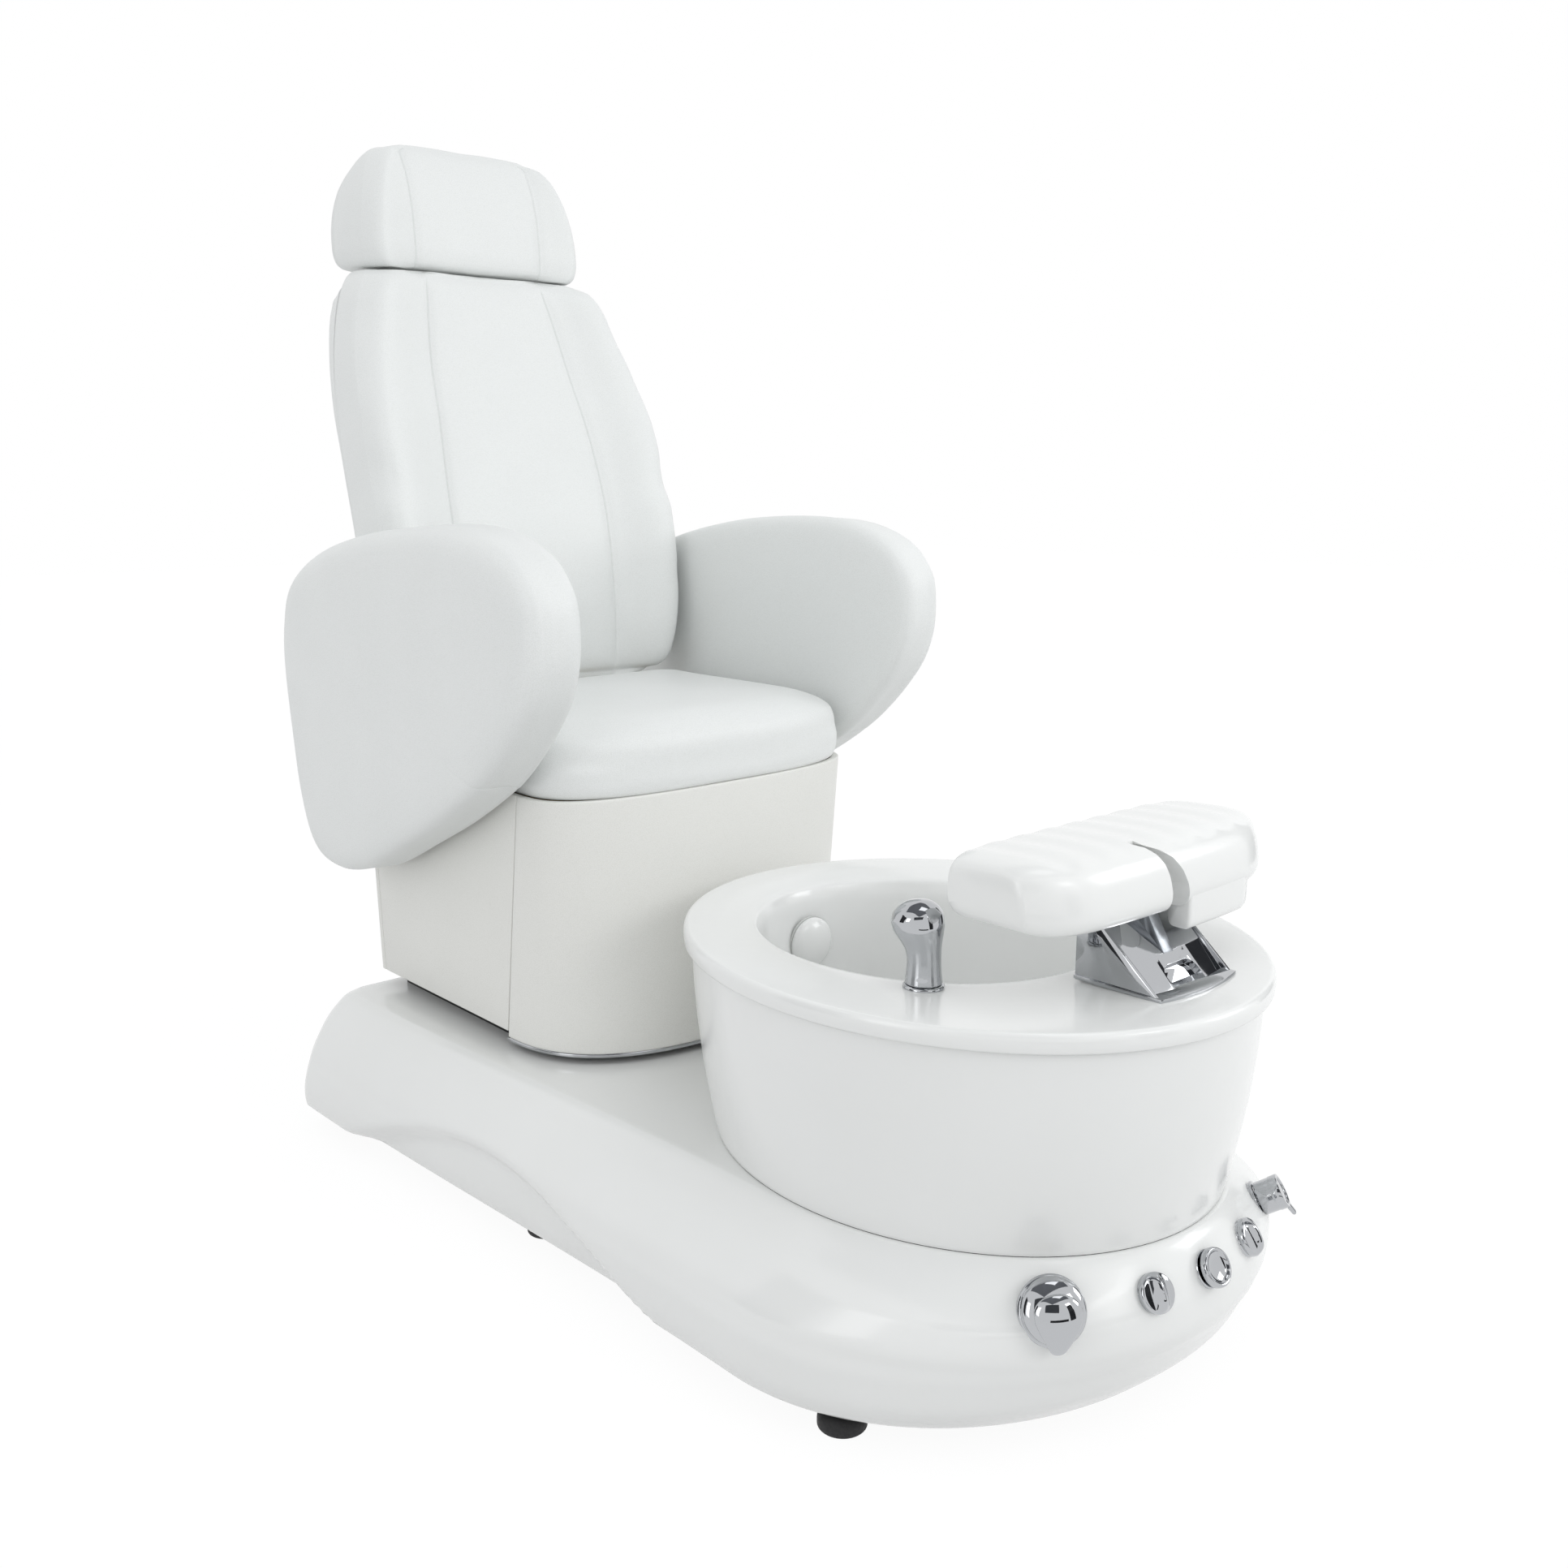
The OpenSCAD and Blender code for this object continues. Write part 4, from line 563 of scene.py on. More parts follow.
def rest_ring(t):
    a = abs(t)
    shrink = REST_END(a)[0]
    front, rear = REST_FRONT + rest_bend(a), REST_REAR - 14 * max(0, (a - 0.6) / 0.4) ** 3
    y = mix(front, rear, (REST_SIDE[:, 0] - REST_FRONT) / (REST_REAR - REST_FRONT))
    z = mix(REST_SIDE[:, 1], -REST_T / 2, shrink)
    x = t * REST_W / 2
    tread = ease((REST_SIDE[:, 1] + 12) / 11) * ease((0.93 - a) / 0.1)
    z = z - tread * FLUTE_DEPTH * (0.5 - 0.5 * math.cos(2 * math.pi * x / FLUTE_PITCH))
    return np.stack([np.full(len(y), REST_X + x), REST_Y + y, TREAD_Z + z], 1)


# %% Footrest pad
REST_TIP = [0.88, 0.9, 0.92, 0.935, 0.95, 0.962, 0.973, 0.983, 0.991, 0.997, 1.0]
ends = np.concatenate([np.linspace(0, 0.86, 70), REST_TIP])
slices = np.concatenate([-ends[::-1], ends[1:]])
rest_rings = [rest_ring(t) for t in slices]
for k, push in ((0.8, 1.2), (0.5, 2.0), (0.15, 2.2)):
    for side in (-1, 1):
        edge = rest_ring(side)
        rest_rings.insert(0 if side < 0 else len(rest_rings), mix(edge.mean(0), edge, k) + (side * push, 0, 0))
rest_pad = skin("footrest_moulding", rest_rings)
CLEFT = [
    (-46, 8), (-46, 0), (-36, -3.5), (-28, -10), (-22, -20), (-18.5, -32), (-16.5, -48), (-16, -90),
    (16, -90), (15.5, -64), (12, -46), (5, -30), (-6, -16), (-20, -7), (-34, -2), (-40, 8)]
near, far = ([(REST_X + x, y, TREAD_Z + z) for x, z in CLEFT] for y in (REST_Y - 60, REST_Y + 14))
cut(rest_pad, prism("cleft", near, far))
bevel(rest_pad, 1.6, 3, 38)
applied(rest_pad)
smooth(rest_pad, 50)
place(rest_pad, "footrest", gelcoat, "gelcoat", "rest_pad")
print("footrest", len(rest_pad.data.polygons), "faces")

# %% Footrest lip
LIP_FROM, LIP_TO, LIP_TALL, LIP_DEEP = 17.5, 146, 48, 26
lip_rings = []
lip_ends = LIP_FROM + np.array([0, 0.5, 1.6, 3.4]), LIP_TO - np.array([10, 6, 3, 1.2, 0.3, 0])
for x in np.concatenate([lip_ends[0], np.linspace(24, 124, 26), lip_ends[1]]):
    near_end = min(x - LIP_FROM, LIP_TO - x)
    less = 3.2 * (1 - math.sqrt(1 - (1 - min(near_end / 4, 1)) ** 2)) + 7 * float(ease((x - LIP_TO + 16) / 16))
    front = REST_FRONT + 0.3 + rest_bend(2 * x / REST_W) + less
    a = np.radians(np.arange(0, 360, 10))
    y = front + (LIP_DEEP - less) / 2 * (1 + power(np.cos(a), 0.45))
    z = -REST_T + (LIP_TALL / 2 - less * 0.6) * power(np.sin(a), 0.4)
    lip_rings.append(np.stack([np.full(len(a), REST_X + x), REST_Y + y, TREAD_Z + z], 1))
place(skin("footrest_lip", lip_rings), "footrest", gelcoat, "gelcoat", "rest_grip")
print("lip", LIP_TO - LIP_FROM, "mm long")

# %% Tilt arm and bolts
machined("rest_arm", "footrest", width=1.0)
machined("rest_bolts", "base", width=0.6)

# %% [markdown]
# ## Footrest bracket
# The bracket is a folded wedge of polished sheet: two cheeks, a sloped face set back between them with a
# rounded window in it, and a bowed base plate that shows as a bright strip. It is a solid wedge with its inside and
# the window cut away, so that every wall keeps its thickness.

# %% Bracket sizes
BRACKET_FLAT = RIM_Z - 6
BRACKET_W, BRACKET_WALL, BRACKET_BOW = 132, 3.5, 9
BRACKET_SIDE = [(-56, 5), (32, 72.8), (37, 75), (55, 75), (55, 3.4), (-56, 3.4)]
BRACKET_FACE = [(-80, 3.4), (-46, 3.4), (-9, 36), (26, 66.8), (26, 90), (-80, 90)]
BRACKET_ROOM = [(-42.5, 3.4), (-5.5, 36), (29, 66.4), (35, 71), (60, 71), (60, 3.4)]
ARM_SLOT = [(-17, 26), (-17, 90), (60, 90), (60, 26)]


def wedge(name, side, half, steps, bow):
    """A side view swept across, its forward points bowed by an amount that grows towards the front."""
    side = np.array(side, float)
    rings = []
    for x in np.linspace(-half, half, steps):
        y = REST_Y + side[:, 0] + bow * (x / (BRACKET_W / 2)) ** 2 * np.clip((4 - side[:, 0]) / 60, 0, 1)
        rings.append(np.stack([np.full(len(side), REST_X + x), y, BRACKET_FLAT + side[:, 1]], 1))
    return skin(name, rings)


# %% Footrest bracket
rest_bracket = wedge("footrest_bracket", BRACKET_SIDE, BRACKET_W / 2, 25, BRACKET_BOW)
cut(rest_bracket, wedge("room", BRACKET_ROOM, BRACKET_W / 2 - BRACKET_WALL, 25, BRACKET_BOW))
cut(rest_bracket, wedge("face", BRACKET_FACE, BRACKET_W / 2 - BRACKET_WALL, 25, BRACKET_BOW))
cut(rest_bracket, wedge("arm_slot", ARM_SLOT, 11, 2, 0))
slope = math.atan2(32.6, 37)
WINDOW = [
    (-27, -6), (-27, 22), (-25.5, 28), (-21.5, 32.5), (-15, 34), (15, 34), (21.5, 32.5), (25.5, 28), (27, 22), (27, -6)]
near, far = ([(REST_X + x, REST_Y - 46 + v * math.cos(slope) - n * math.sin(slope),
               BRACKET_FLAT + 3.4 + v * math.sin(slope) + n * math.cos(slope)) for x, v in WINDOW] for n in (-9, 12))
cut(rest_bracket, prism("window", near, far))
weld(rest_bracket)
bevel(rest_bracket, 0.9, 3, 30)
applied(rest_bracket)
smooth(rest_bracket, 32)
place(rest_bracket, "base", chrome, "chrome", "rest_bracket")
PLATE = [(56, 4.6), (56, 8.6), (-58.5, 8.6), (-58.5, 4.6)]
plate = wedge("footrest_bracket_plate", PLATE, BRACKET_W / 2 + 1.2, 25, BRACKET_BOW)
bevel(plate, 0.6, 2, 40)
applied(plate)
plate.data.set_sharp_from_angle(angle=math.radians(32))
place(plate, "base", chrome, "chrome")
print("bracket", len(rest_bracket.data.polygons), "faces")

# %% [markdown]
# ## Cushions
# Foam under stretched vinyl swells between its seams. Each cushion is drawn with rings at the size of
# its cut foam, then a coarse copy is blown up a little by a cloth simulation with air pressure inside.
# The swelling is measured and added to the finely drawn form, so the seams stay crisp.


# %% Cloth swelling
CLOTH_FRAMES, CLOTH_PRESSURE = 20, 4.0


def coarse_grid(points, step_j, step_i):
    rows = list(range(0, points.shape[0] - 1, step_j)) + [points.shape[0] - 1]
    cols = list(range(0, points.shape[1], step_i))
    return rows, cols


def cubic(values, where, wrap):
    """Samples rows of values at fractional indices, smoothly; wrap closes them to a loop."""
    n = len(values)
    i = np.floor(where).astype(int)
    t = (where - i).reshape((-1,) + (1,) * (values.ndim - 1))
    take = (lambda k: values[k % n]) if wrap else (lambda k: values[np.clip(k, 0, n - 1)])
    a, b, c, d = take(i - 1), take(i), take(i + 1), take(i + 2)
    return b + 0.5 * t * (c - a + t * (2 * a - 5 * b + 4 * c - d + t * (3 * (b - c) + d - a)))


def swollen(name, points, held, cap, step=(3, 3)):
    """Adds the swelling of a simulated coarse copy to a grid of points; held(points) is 1 where it is fixed."""
    rows, cols = coarse_grid(points, *step)
    coarse = points[np.ix_(rows, cols)]
    bag = skin(name + "_bag", coarse)
    rest = np.array([v.co for v in bag.data.vertices])
    pins = bag.vertex_groups.new(name="held")
    for k, weight in enumerate(held(rest / MM)):
        pins.add([k], float(weight), "REPLACE")
    cloth = bag.modifiers.new("cloth", "CLOTH")
    cloth.settings.use_pressure = True
    cloth.settings.uniform_pressure_force = CLOTH_PRESSURE
    cloth.settings.effector_weights.gravity = 0
    cloth.settings.vertex_group_mass = "held"
    cloth.settings.quality = 6
    cloth.point_cache.frame_start, cloth.point_cache.frame_end = 1, CLOTH_FRAMES
    for step_frame in range(1, CLOTH_FRAMES + 1):
        scene.frame_set(step_frame)
    shaped = bag.evaluated_get(bpy.context.evaluated_depsgraph_get())
    moved = np.array([v.co for v in shaped.data.vertices]) - rest
    bag.modifiers.clear()
    bpy.data.objects.remove(bag)
    scene.frame_set(1)
    size = np.linalg.norm(moved, axis=1, keepdims=True) / MM
    moved = moved / MM * np.minimum(1, cap / np.maximum(size, 1e-6))
    field = moved[:coarse.shape[0] * coarse.shape[1]].reshape(coarse.shape)
    for _ in range(3):
        field = 0.5 * field + 0.25 * (np.roll(field, 1, 1) + np.roll(field, -1, 1))
    along = np.interp(np.arange(points.shape[0]), rows, np.arange(len(rows)))
    field = cubic(field, along, False)
    around = np.arange(points.shape[1]) / step[1]
    last, seam = points.shape[1] / step[1], len(cols) - 1
    around = np.where(around > seam, seam + (around - seam) / (last - seam), around)
    field = np.swapaxes(cubic(np.swapaxes(field, 0, 1), around, True), 0, 1)
    print(name, "swells by up to", round(float(np.linalg.norm(field, axis=2).max()), 1), "mm")
    return points + field


# %% [markdown]
# ## Seat cushion
# A thick boxed cushion: its front follows the seat box's bow, its top is crowned, and the top edge is a
# soft fold where the facing turns over the foam. One outline in plan, moved inwards by a different
# amount at each height, draws the whole of it.

# %% Seat outline
BOX_FOOT, BOX_TOP, BOX_H = 250, 258, 552
SEAT_BACK = 463


def seat_ring(inset, z):
    h, b, side, back = BOX_TOP - 3 - inset, 114 - inset, 135, SEAT_BACK - inset
    half = [(0, back, z), (h * 0.25, back, z), (h * 0.5, back, z), (h * 0.75, back, z)]
    for a in np.radians(np.linspace(90, 0, 9)):
        half.append((h - 30 + 30 * math.cos(a), back - 30 + 30 * math.sin(a), z))
    half += [(h, mix(back - 30, side, t), z) for t in np.linspace(0, 1, 26)[1:-1]]
    for a in np.radians(np.linspace(0, 90, 43)):
        half.append((h * power(math.cos(a), 0.62) if a < 1.57 else 0, side - b * power(math.sin(a), 0.7), z))
    return mirrored(half)


# %% Seat cushion
SEAT_FOOT, SEAT_T, SEAT_CROWN = 552.3, 82, 15
SEAT_SIDE = curve([
    [0, 9], [0.03, 5.5], [0.08, 2.6], [0.2, -0.4], [0.4, -1.6], [0.6, -2], [0.74, -1.0], [0.84, 1.6], [0.91, 5],
    [0.96, 10], [1.0, 17]])
side_steps = np.concatenate([[0, 0.01, 0.03, 0.055, 0.08, 0.12], np.linspace(0.18, 0.8, 12), np.linspace(0.83, 1, 10)])
seat_rings = [seat_ring(9, SEAT_FOOT) * (k, k, 1) + (0, 244 * (1 - k), 0) for k in (0.1, 0.4, 0.7, 0.9, 0.98)]
seat_rings += [seat_ring(SEAT_SIDE(t)[0], SEAT_FOOT + SEAT_T * t) for t in side_steps]
SEAT_MID = 244
for i in range(1, 22):
    k = 1 - i / 21.4
    rise = SEAT_CROWN * (0.3 * (1 - max(0, (k - 0.86) / 0.14) ** 2) + 0.7 * (1 - k ** 2.4))
    top_edge = seat_ring(17, SEAT_FOOT + SEAT_T + rise)
    seat_rings.append(top_edge * (k, k, 1) + (0, SEAT_MID * (1 - k), 0))
seat_points = swollen("seat_cushion", np.array(seat_rings), lambda p: (p[:, 2] < SEAT_FOOT + 4) * 1.0, cap=6)
seat_cushion = skin("seat_cushion_vinyl", seat_points)
place(seat_cushion, "base", vinyl, PADDED, "seat_cushion")
print("seat", len(seat_cushion.data.vertices), "points")

# %% [markdown]
# ## Backrest
# The backrest has a flat centre panel between two side bolsters, joined by curved seams that run
# together towards the top. The seams pull the vinyl down into a narrow valley. A seam in a bump map
# would vanish at the outline, so the valley is modelled, with extra columns of points on the seam.

# %% Backrest sizes
BOARD_Y, BACK_FOOT, BACK_HEAD = 500, 640, 1240
BACK_TILT = math.radians(15.5)
BACK_ROWS = curve([
    [0.000, 214, 9, 12], [0.012, 230, 2, 22], [0.05, 242, -2, 31], [0.14, 247, -1, 36], [0.27, 248, 6, 38],
    [0.40, 247, 18, 39], [0.52, 246, 36, 37], [0.64, 243, 58, 36], [0.76, 235, 87, 34], [0.86, 222, 106, 30],
    [0.94, 206, 120, 27], [0.98, 192, 128, 24], [1.000, 176, 138, 16]])
BACK_SEAM = curve([[0, 135], [0.4, 135], [0.75, 119], [1, 98]])
VALLEY = np.array([-16, -11, -7.5, -5, -3.2, -2, -1.1, -0.5, 0, 0.5, 1.1, 2, 3.2, 5, 7.5, 11, 16])


def valley(distance, wide, deep, narrow, slit):
    """Depth of a sewn seam: a broad dip with a narrow slit in it."""
    d = np.abs(distance)
    return deep * (1 - ease(d / wide)) + slit * (1 - ease(d / narrow))


def across(seam, half):
    """X of the columns from the middle to the side, with the valley's columns on the seam."""
    inner = np.linspace(0, 1, 12)[:-1] * (seam - 16)
    outer_ = seam + 16 + (half - seam - 16) * (1 - (1 - np.linspace(0, 1, 20)[1:]) ** 1.6)
    return np.concatenate([inner, seam + VALLEY, outer_])


def back_ring(s):
    half, centre, rise = BACK_ROWS(s)
    z = mix(BACK_FOOT, BACK_HEAD, s)
    rear = BOARD_Y + (z - BACK_FOOT) * math.tan(BACK_TILT) - 0.3
    seam = BACK_SEAM(s)[0]
    x = across(seam, half)
    end_fade = float(ease(s / 0.05) * ease((1 - s) / 0.04))
    face = (464 + centre - rise * ease((x - seam) / (half - seam - 26))
            + valley(x - seam, 13, 3.4, 2.2, 1.8) * end_fade + 40 * np.clip((x - half + 30) / 30, 0, 1) ** 3)
    front = np.stack([x, face, np.full(len(x), z)], 1)
    edge = front[-1, 1]
    side = [(half, mix(edge, rear, t), z) for t in (0.2, 0.4, 0.6, 0.8)]
    corner = [(half - 1, rear - 5, z), (half - 3.5, rear - 1.5, z), (half - 8, rear, z), (half * 0.75, rear, z),
              (half * 0.5, rear, z), (half * 0.25, rear, z), (0, rear, z)]
    return mirrored(np.vstack([front, side, corner])[::-1])


def board_face(p):
    """Y of the leaning board's front face at each point's height."""
    return BOARD_Y + (p[:, 2] - BACK_FOOT) * math.tan(BACK_TILT)


# %% Backrest cushion
up = np.concatenate([
    [0, 0.004, 0.009, 0.016, 0.025, 0.037], np.linspace(0.05, 0.93, 60), [0.945, 0.958, 0.97, 0.98, 0.988, 0.995, 1.0]])
back_rings = [back_ring(s) for s in up]
low = [mix(back_rings[0].mean(0), back_rings[0], k) - (0, 0, drop)
       for k, drop in ((0.1, 9.5), (0.4, 9.4), (0.7, 9), (0.86, 8), (0.94, 6), (0.98, 3.4), (0.995, 1.4))]
top = [mix(back_rings[-1].mean(0), back_rings[-1], k) + (0, 0, 2 + 5 * (1 - k)) for k in (0.93, 0.8, 0.5, 0.1)]
back_points = np.array(low + back_rings + top)
back_points = swollen("backrest", back_points, lambda p: (p[:, 1] > board_face(p) - 4) * 1.0, cap=7)
back_cushion = skin("backrest_vinyl", back_points)
place(back_cushion, "backrest", vinyl, PADDED, "back_cushion")
print("backrest", len(back_cushion.data.vertices), "points")

# %% [markdown]
# ## Backrest's rear cover
# The rear is a padded cover, pulled over the board and deeper towards the head. It is drawn on the
# leaning board: X across, Y away from its front face, Z up along it.

# %% Rear cover
BACK_LONG = (BACK_HEAD - BACK_FOOT) / math.cos(BACK_TILT)
COVER_DEEP = curve([[0, 17], [230, 16], [300, 21], [360, 28], [420, 36], [495, 42], [573, 50], [BACK_LONG, 46]])


def leaning(points):
    x, y, z = np.moveaxis(np.asarray(points, float), -1, 0)
    c, s = math.cos(BACK_TILT), math.sin(BACK_TILT)
    return np.stack([x, BOARD_Y + y * c + z * s, BACK_FOOT - y * s + z * c], -1)


def cover_ring(inset, share):
    middle = BACK_LONG / 2
    steps = np.concatenate([[0, 0.02, 0.045], np.linspace(0.08, 0.92, 30), [0.955, 0.98, 1.0]])
    side = []
    for t in steps:
        z = mix(5, BACK_LONG - 6, t)
        corner = 6 * (1 - float(ease(t / 0.045))) + 8 * (1 - float(ease((1 - t) / 0.045)))
        half = BACK_ROWS(z / BACK_LONG)[0] - 4 - corner
        side.append((half * (1 - inset / 240), middle + (z - middle) * (1 - inset / 310)))
    side = np.array(side)
    fill = np.linspace(1, -1, 13)[1:-1, None] * (1, 0)
    ring = np.vstack([side[::-1], side[0] * np.hstack([fill[:, :1], np.ones((11, 1))]),
                      side * (-1, 1), side[-1] * np.hstack([-fill[:, :1], np.ones((11, 1))])])
    deep = np.array([COVER_DEEP(z)[0] for z in ring[:, 1]])
    return np.stack([ring[:, 0], 0.2 + share * deep, ring[:, 1]], 1)


cover_rows = curve([
    [0, 0, 0], [0.3, 0, 0.5], [0.45, 3, 0.75], [0.6, 9, 0.92], [0.72, 22, 1], [0.86, 90, 1], [1, 200, 1]])
cover_rings = [cover_ring(*cover_rows(t)) for t in np.linspace(0, 1, 34)]
cover_points = leaning(np.array(cover_rings))
cover_points = swollen("rear_cover", cover_points, lambda p: (p[:, 1] < board_face(p) + 6) * 1.0, cap=5)
back_cover = skin("backrest_cover_vinyl", cover_points)
place(back_cover, "backrest", vinyl, "vinyl", "back_cover")
print("rear cover", len(back_cover.data.vertices), "points")

# %% [markdown]
# ## Headrest
# A block cushion with two seams down its face, crisp lower corners and a face that slopes back. It is
# drawn as the backrest is, with level rings and the same valley on its seams.

# %% Headrest
HEAD_FOOT, HEAD_H, HEAD_Y = 1242, 180, 592
HEAD_ROWS = curve([
    [0.00, 152, 15, 125], [0.02, 168, 6, 137], [0.07, 177, 1, 143], [0.16, 180, 0, 147],
    [0.3, 179, 2, 150], [0.45, 175, 5, 152], [0.6, 169, 11, 148], [0.74, 161, 19, 134],
    [0.85, 152, 28, 111], [0.94, 139, 37, 87], [1.00, 118, 49, 69]])
HEAD_SEAM = 106


def head_ring(s):
    half, front_y, rear_y = HEAD_ROWS(s)
    z = HEAD_FOOT + HEAD_H * s
    seam = min(HEAD_SEAM, half - 34)
    x = across(seam, half)
    end_fade = float(ease(s / 0.06) * ease((1 - s) / 0.05))
    deep = rear_y - front_y - 10
    turn = min(1, deep / 75)
    face = (HEAD_Y + front_y + 10 - 14 * turn * ease((x - seam) / (half - seam - 14))
            + valley(x - seam, 12, 2.6, 2.0, 1.4) * end_fade + 36 * turn * np.clip((x - half + 26) / 26, 0, 1) ** 3)
    front = np.stack([x, face, np.full(len(x), z)], 1)
    rear, edge = HEAD_Y + rear_y, face[-1]
    side = [(half, mix(edge, rear, t), z) for t in (0.15, 0.3, 0.45)]
    corner = [(half - 1.2, mix(edge, rear, 0.68), z), (half - 4, rear - 14 * turn, z),
              (half - 10, rear - 6.5 * turn, z), (half - 20, rear - 2 * turn, z),
              (half - 34, rear - 0.3 * turn, z), (half * 0.5, rear, z), (half * 0.25, rear, z), (0, rear, z)]
    ring = mirrored(np.vstack([front, side, corner])[::-1])
    ring[:, 2] -= 5 * ease((s - 0.93) / 0.07) * np.clip((np.abs(ring[:, 0]) / half - 0.7) / 0.3, 0, 1) ** 2
    return ring


up = np.concatenate([
    [0, 0.006, 0.013, 0.022, 0.034, 0.05], np.linspace(0.07, 0.93, 30), [0.945, 0.96, 0.973, 0.985, 0.994, 1.0]])
head_rings = [head_ring(s) for s in up]
low = [mix(head_rings[0].mean(0), head_rings[0], k) - (0, 0, 0.6) for k in (0.1, 0.5, 0.9)]
top = [mix(head_rings[-1].mean(0), head_rings[-1], k) + (0, 0, 2.2 * (1 - k * k)) for k in (0.96, 0.88, 0.7, 0.4, 0.1)]
head_points = np.array(low + head_rings + top)
head_points = swollen("headrest", head_points, lambda p: (p[:, 2] < HEAD_FOOT + 2) * 1.0, cap=5)
head_cushion = skin("headrest_vinyl", head_points)
place(head_cushion, "headrest", vinyl, PADDED, "head_cushion")
print("headrest", len(head_cushion.data.vertices), "points")

# %% [markdown]
# ## Arms
# Each arm is a broad leaf-shaped pad: two flat facings and a band sewn between them, over a board that
# turns on one bolt. The facing's outline is one smooth closed curve, and its rings are stacked from the
# inner facing to the outer one. The second arm is the first one mirrored.

# %% Arm pads
ARM_SEAM, ARM_SPAN = 3.2, 125
seam_steps = np.array([-5, -3.6, -2.5, -1.7, -1.1, -0.5, 0, 0.5, 1.1, 1.7, 2.5, 3.6, 5]) / ARM_SPAN
arm_where = np.arange(0, 20, 1 / 8)
arm_where = np.sort(np.concatenate([arm_where[np.abs(arm_where - ARM_SEAM) > 0.05], ARM_SEAM + seam_steps]))
ARM_OUTLINE = closed_curve(np.array([
    [345, 785], [350, 725], [382, 666], [463, 587], [580, 514], [700, 456], [800, 412], [878, 397],
    [946, 414], [984, 483], [1005, 580], [1017, 680], [1009, 748], [975, 805], [882, 850], [740, 879],
    [600, 889], [480, 886], [400, 862], [358, 825]]) - (387, 0), arm_where)
ARM_MID = np.array([291.0, 672.0])
ARM_IN, ARM_OUT = 261.2, 346
ARM_ROWS = curve([
    [0, 150], [0.006, 60], [0.02, 30], [0.05, 14.5], [0.1, 6.5], [0.2, 1.2], [0.34, 0], [0.62, 0], [0.76, 1.6],
    [0.86, 6], [0.93, 13], [0.97, 23], [0.99, 50], [1, 150]])


def arm_ring(x, inset):
    """The outline at one place across the band, with the band's cross seam sunk into it."""
    groove = valley((arm_where - ARM_SEAM) * ARM_SPAN, 5, 1.0, 1.3, 0.9) * (1 - ease((inset - 6) / 8))
    flat = ARM_MID + (ARM_OUTLINE - ARM_MID) * (1 - (inset + groove) / 270)[:, None]
    return np.column_stack([np.full(len(flat), x), flat])


arm_steps = [0, 0.003, 0.006, 0.012, 0.02, 0.034, 0.05, 0.07, 0.1, 0.14, 0.2, 0.27, 0.36, 0.46, 0.56, 0.64, 0.7,
             0.75, 0.79, 0.83, 0.87, 0.9, 0.925, 0.945, 0.962, 0.975, 0.985, 0.992, 0.996, 1.0]
arm_rings = [arm_ring(ARM_IN, k) for k in (255, 200)]
arm_rings += [arm_ring(mix(ARM_IN, ARM_OUT, t), ARM_ROWS(t)[0]) for t in arm_steps]
arm_rings += [arm_ring(ARM_OUT, k) for k in (200, 255)]
arm_points = swollen("arm", np.array(arm_rings), lambda p: (p[:, 0] < ARM_IN + 12) * 1.0, cap=4, step=(2, 4))
for side, sign in (("right", -1), ("left", 1)):
    pad = skin(f"arm_{side}_vinyl", (arm_points if sign > 0 else arm_points[:, ::-1]) * (sign, 1, 1))
    place(pad, f"arm_{side}", vinyl, PADDED, f"arm_pad_{side}", f"arm_board_{side}")
print("arms", len(pad.data.vertices), "points each")

# %% [markdown]
# ## Seat box
# The seat stands on a box of vinyl-covered panels over a steel frame. The front panel bows forward and
# laps a little lower than the sides, with a bright strip along its lower edge. It is a ribbon of even
# wall: an outer and an inner sheet joined round their edges, as a bent board is.


# %% Front panel and its strip
def box_edge(s, wall, a):
    h, b, e = mix(BOX_FOOT, BOX_TOP, s) - wall, mix(183, 110, s) - wall, mix(0.8, 0.62, s)
    return h * power(np.cos(a), e), mix(190, 135, s) - b * power(np.sin(a), e)


PANEL_FOOT, PANEL_T = 214, 10


def panel_row(s, wall, z=None):
    a = np.radians(np.linspace(180, 0, 121))
    x, y = box_edge(s, wall, a)
    z = mix(PANEL_FOOT, BOX_H, s) if z is None else z
    return np.column_stack([x, y, np.full(len(x), z)])


def ribbon(name, outer_rows, inner_rows):
    """A sheet of even wall, closed round its edges."""
    loop = list(outer_rows) + list(inner_rows)[::-1]
    made = skin(name, loop + [loop[0]], caps=(False, False), wrap=False)
    n, m = len(outer_rows[0]), len(loop)
    mesh = made.data
    points = [tuple(v.co / MM) for v in mesh.vertices]
    faces = [tuple(p.vertices) for p in mesh.polygons]
    bpy.data.objects.remove(made)
    k = len(outer_rows)
    for i, flip in ((0, False), (n - 1, True)):
        for j in range(k - 1):
            quad = (j * n + i, (j + 1) * n + i, (m - 2 - j) * n + i, (m - 1 - j) * n + i)
            faces.append(quad[::-1] if flip else quad)
    return link(name, points, faces)


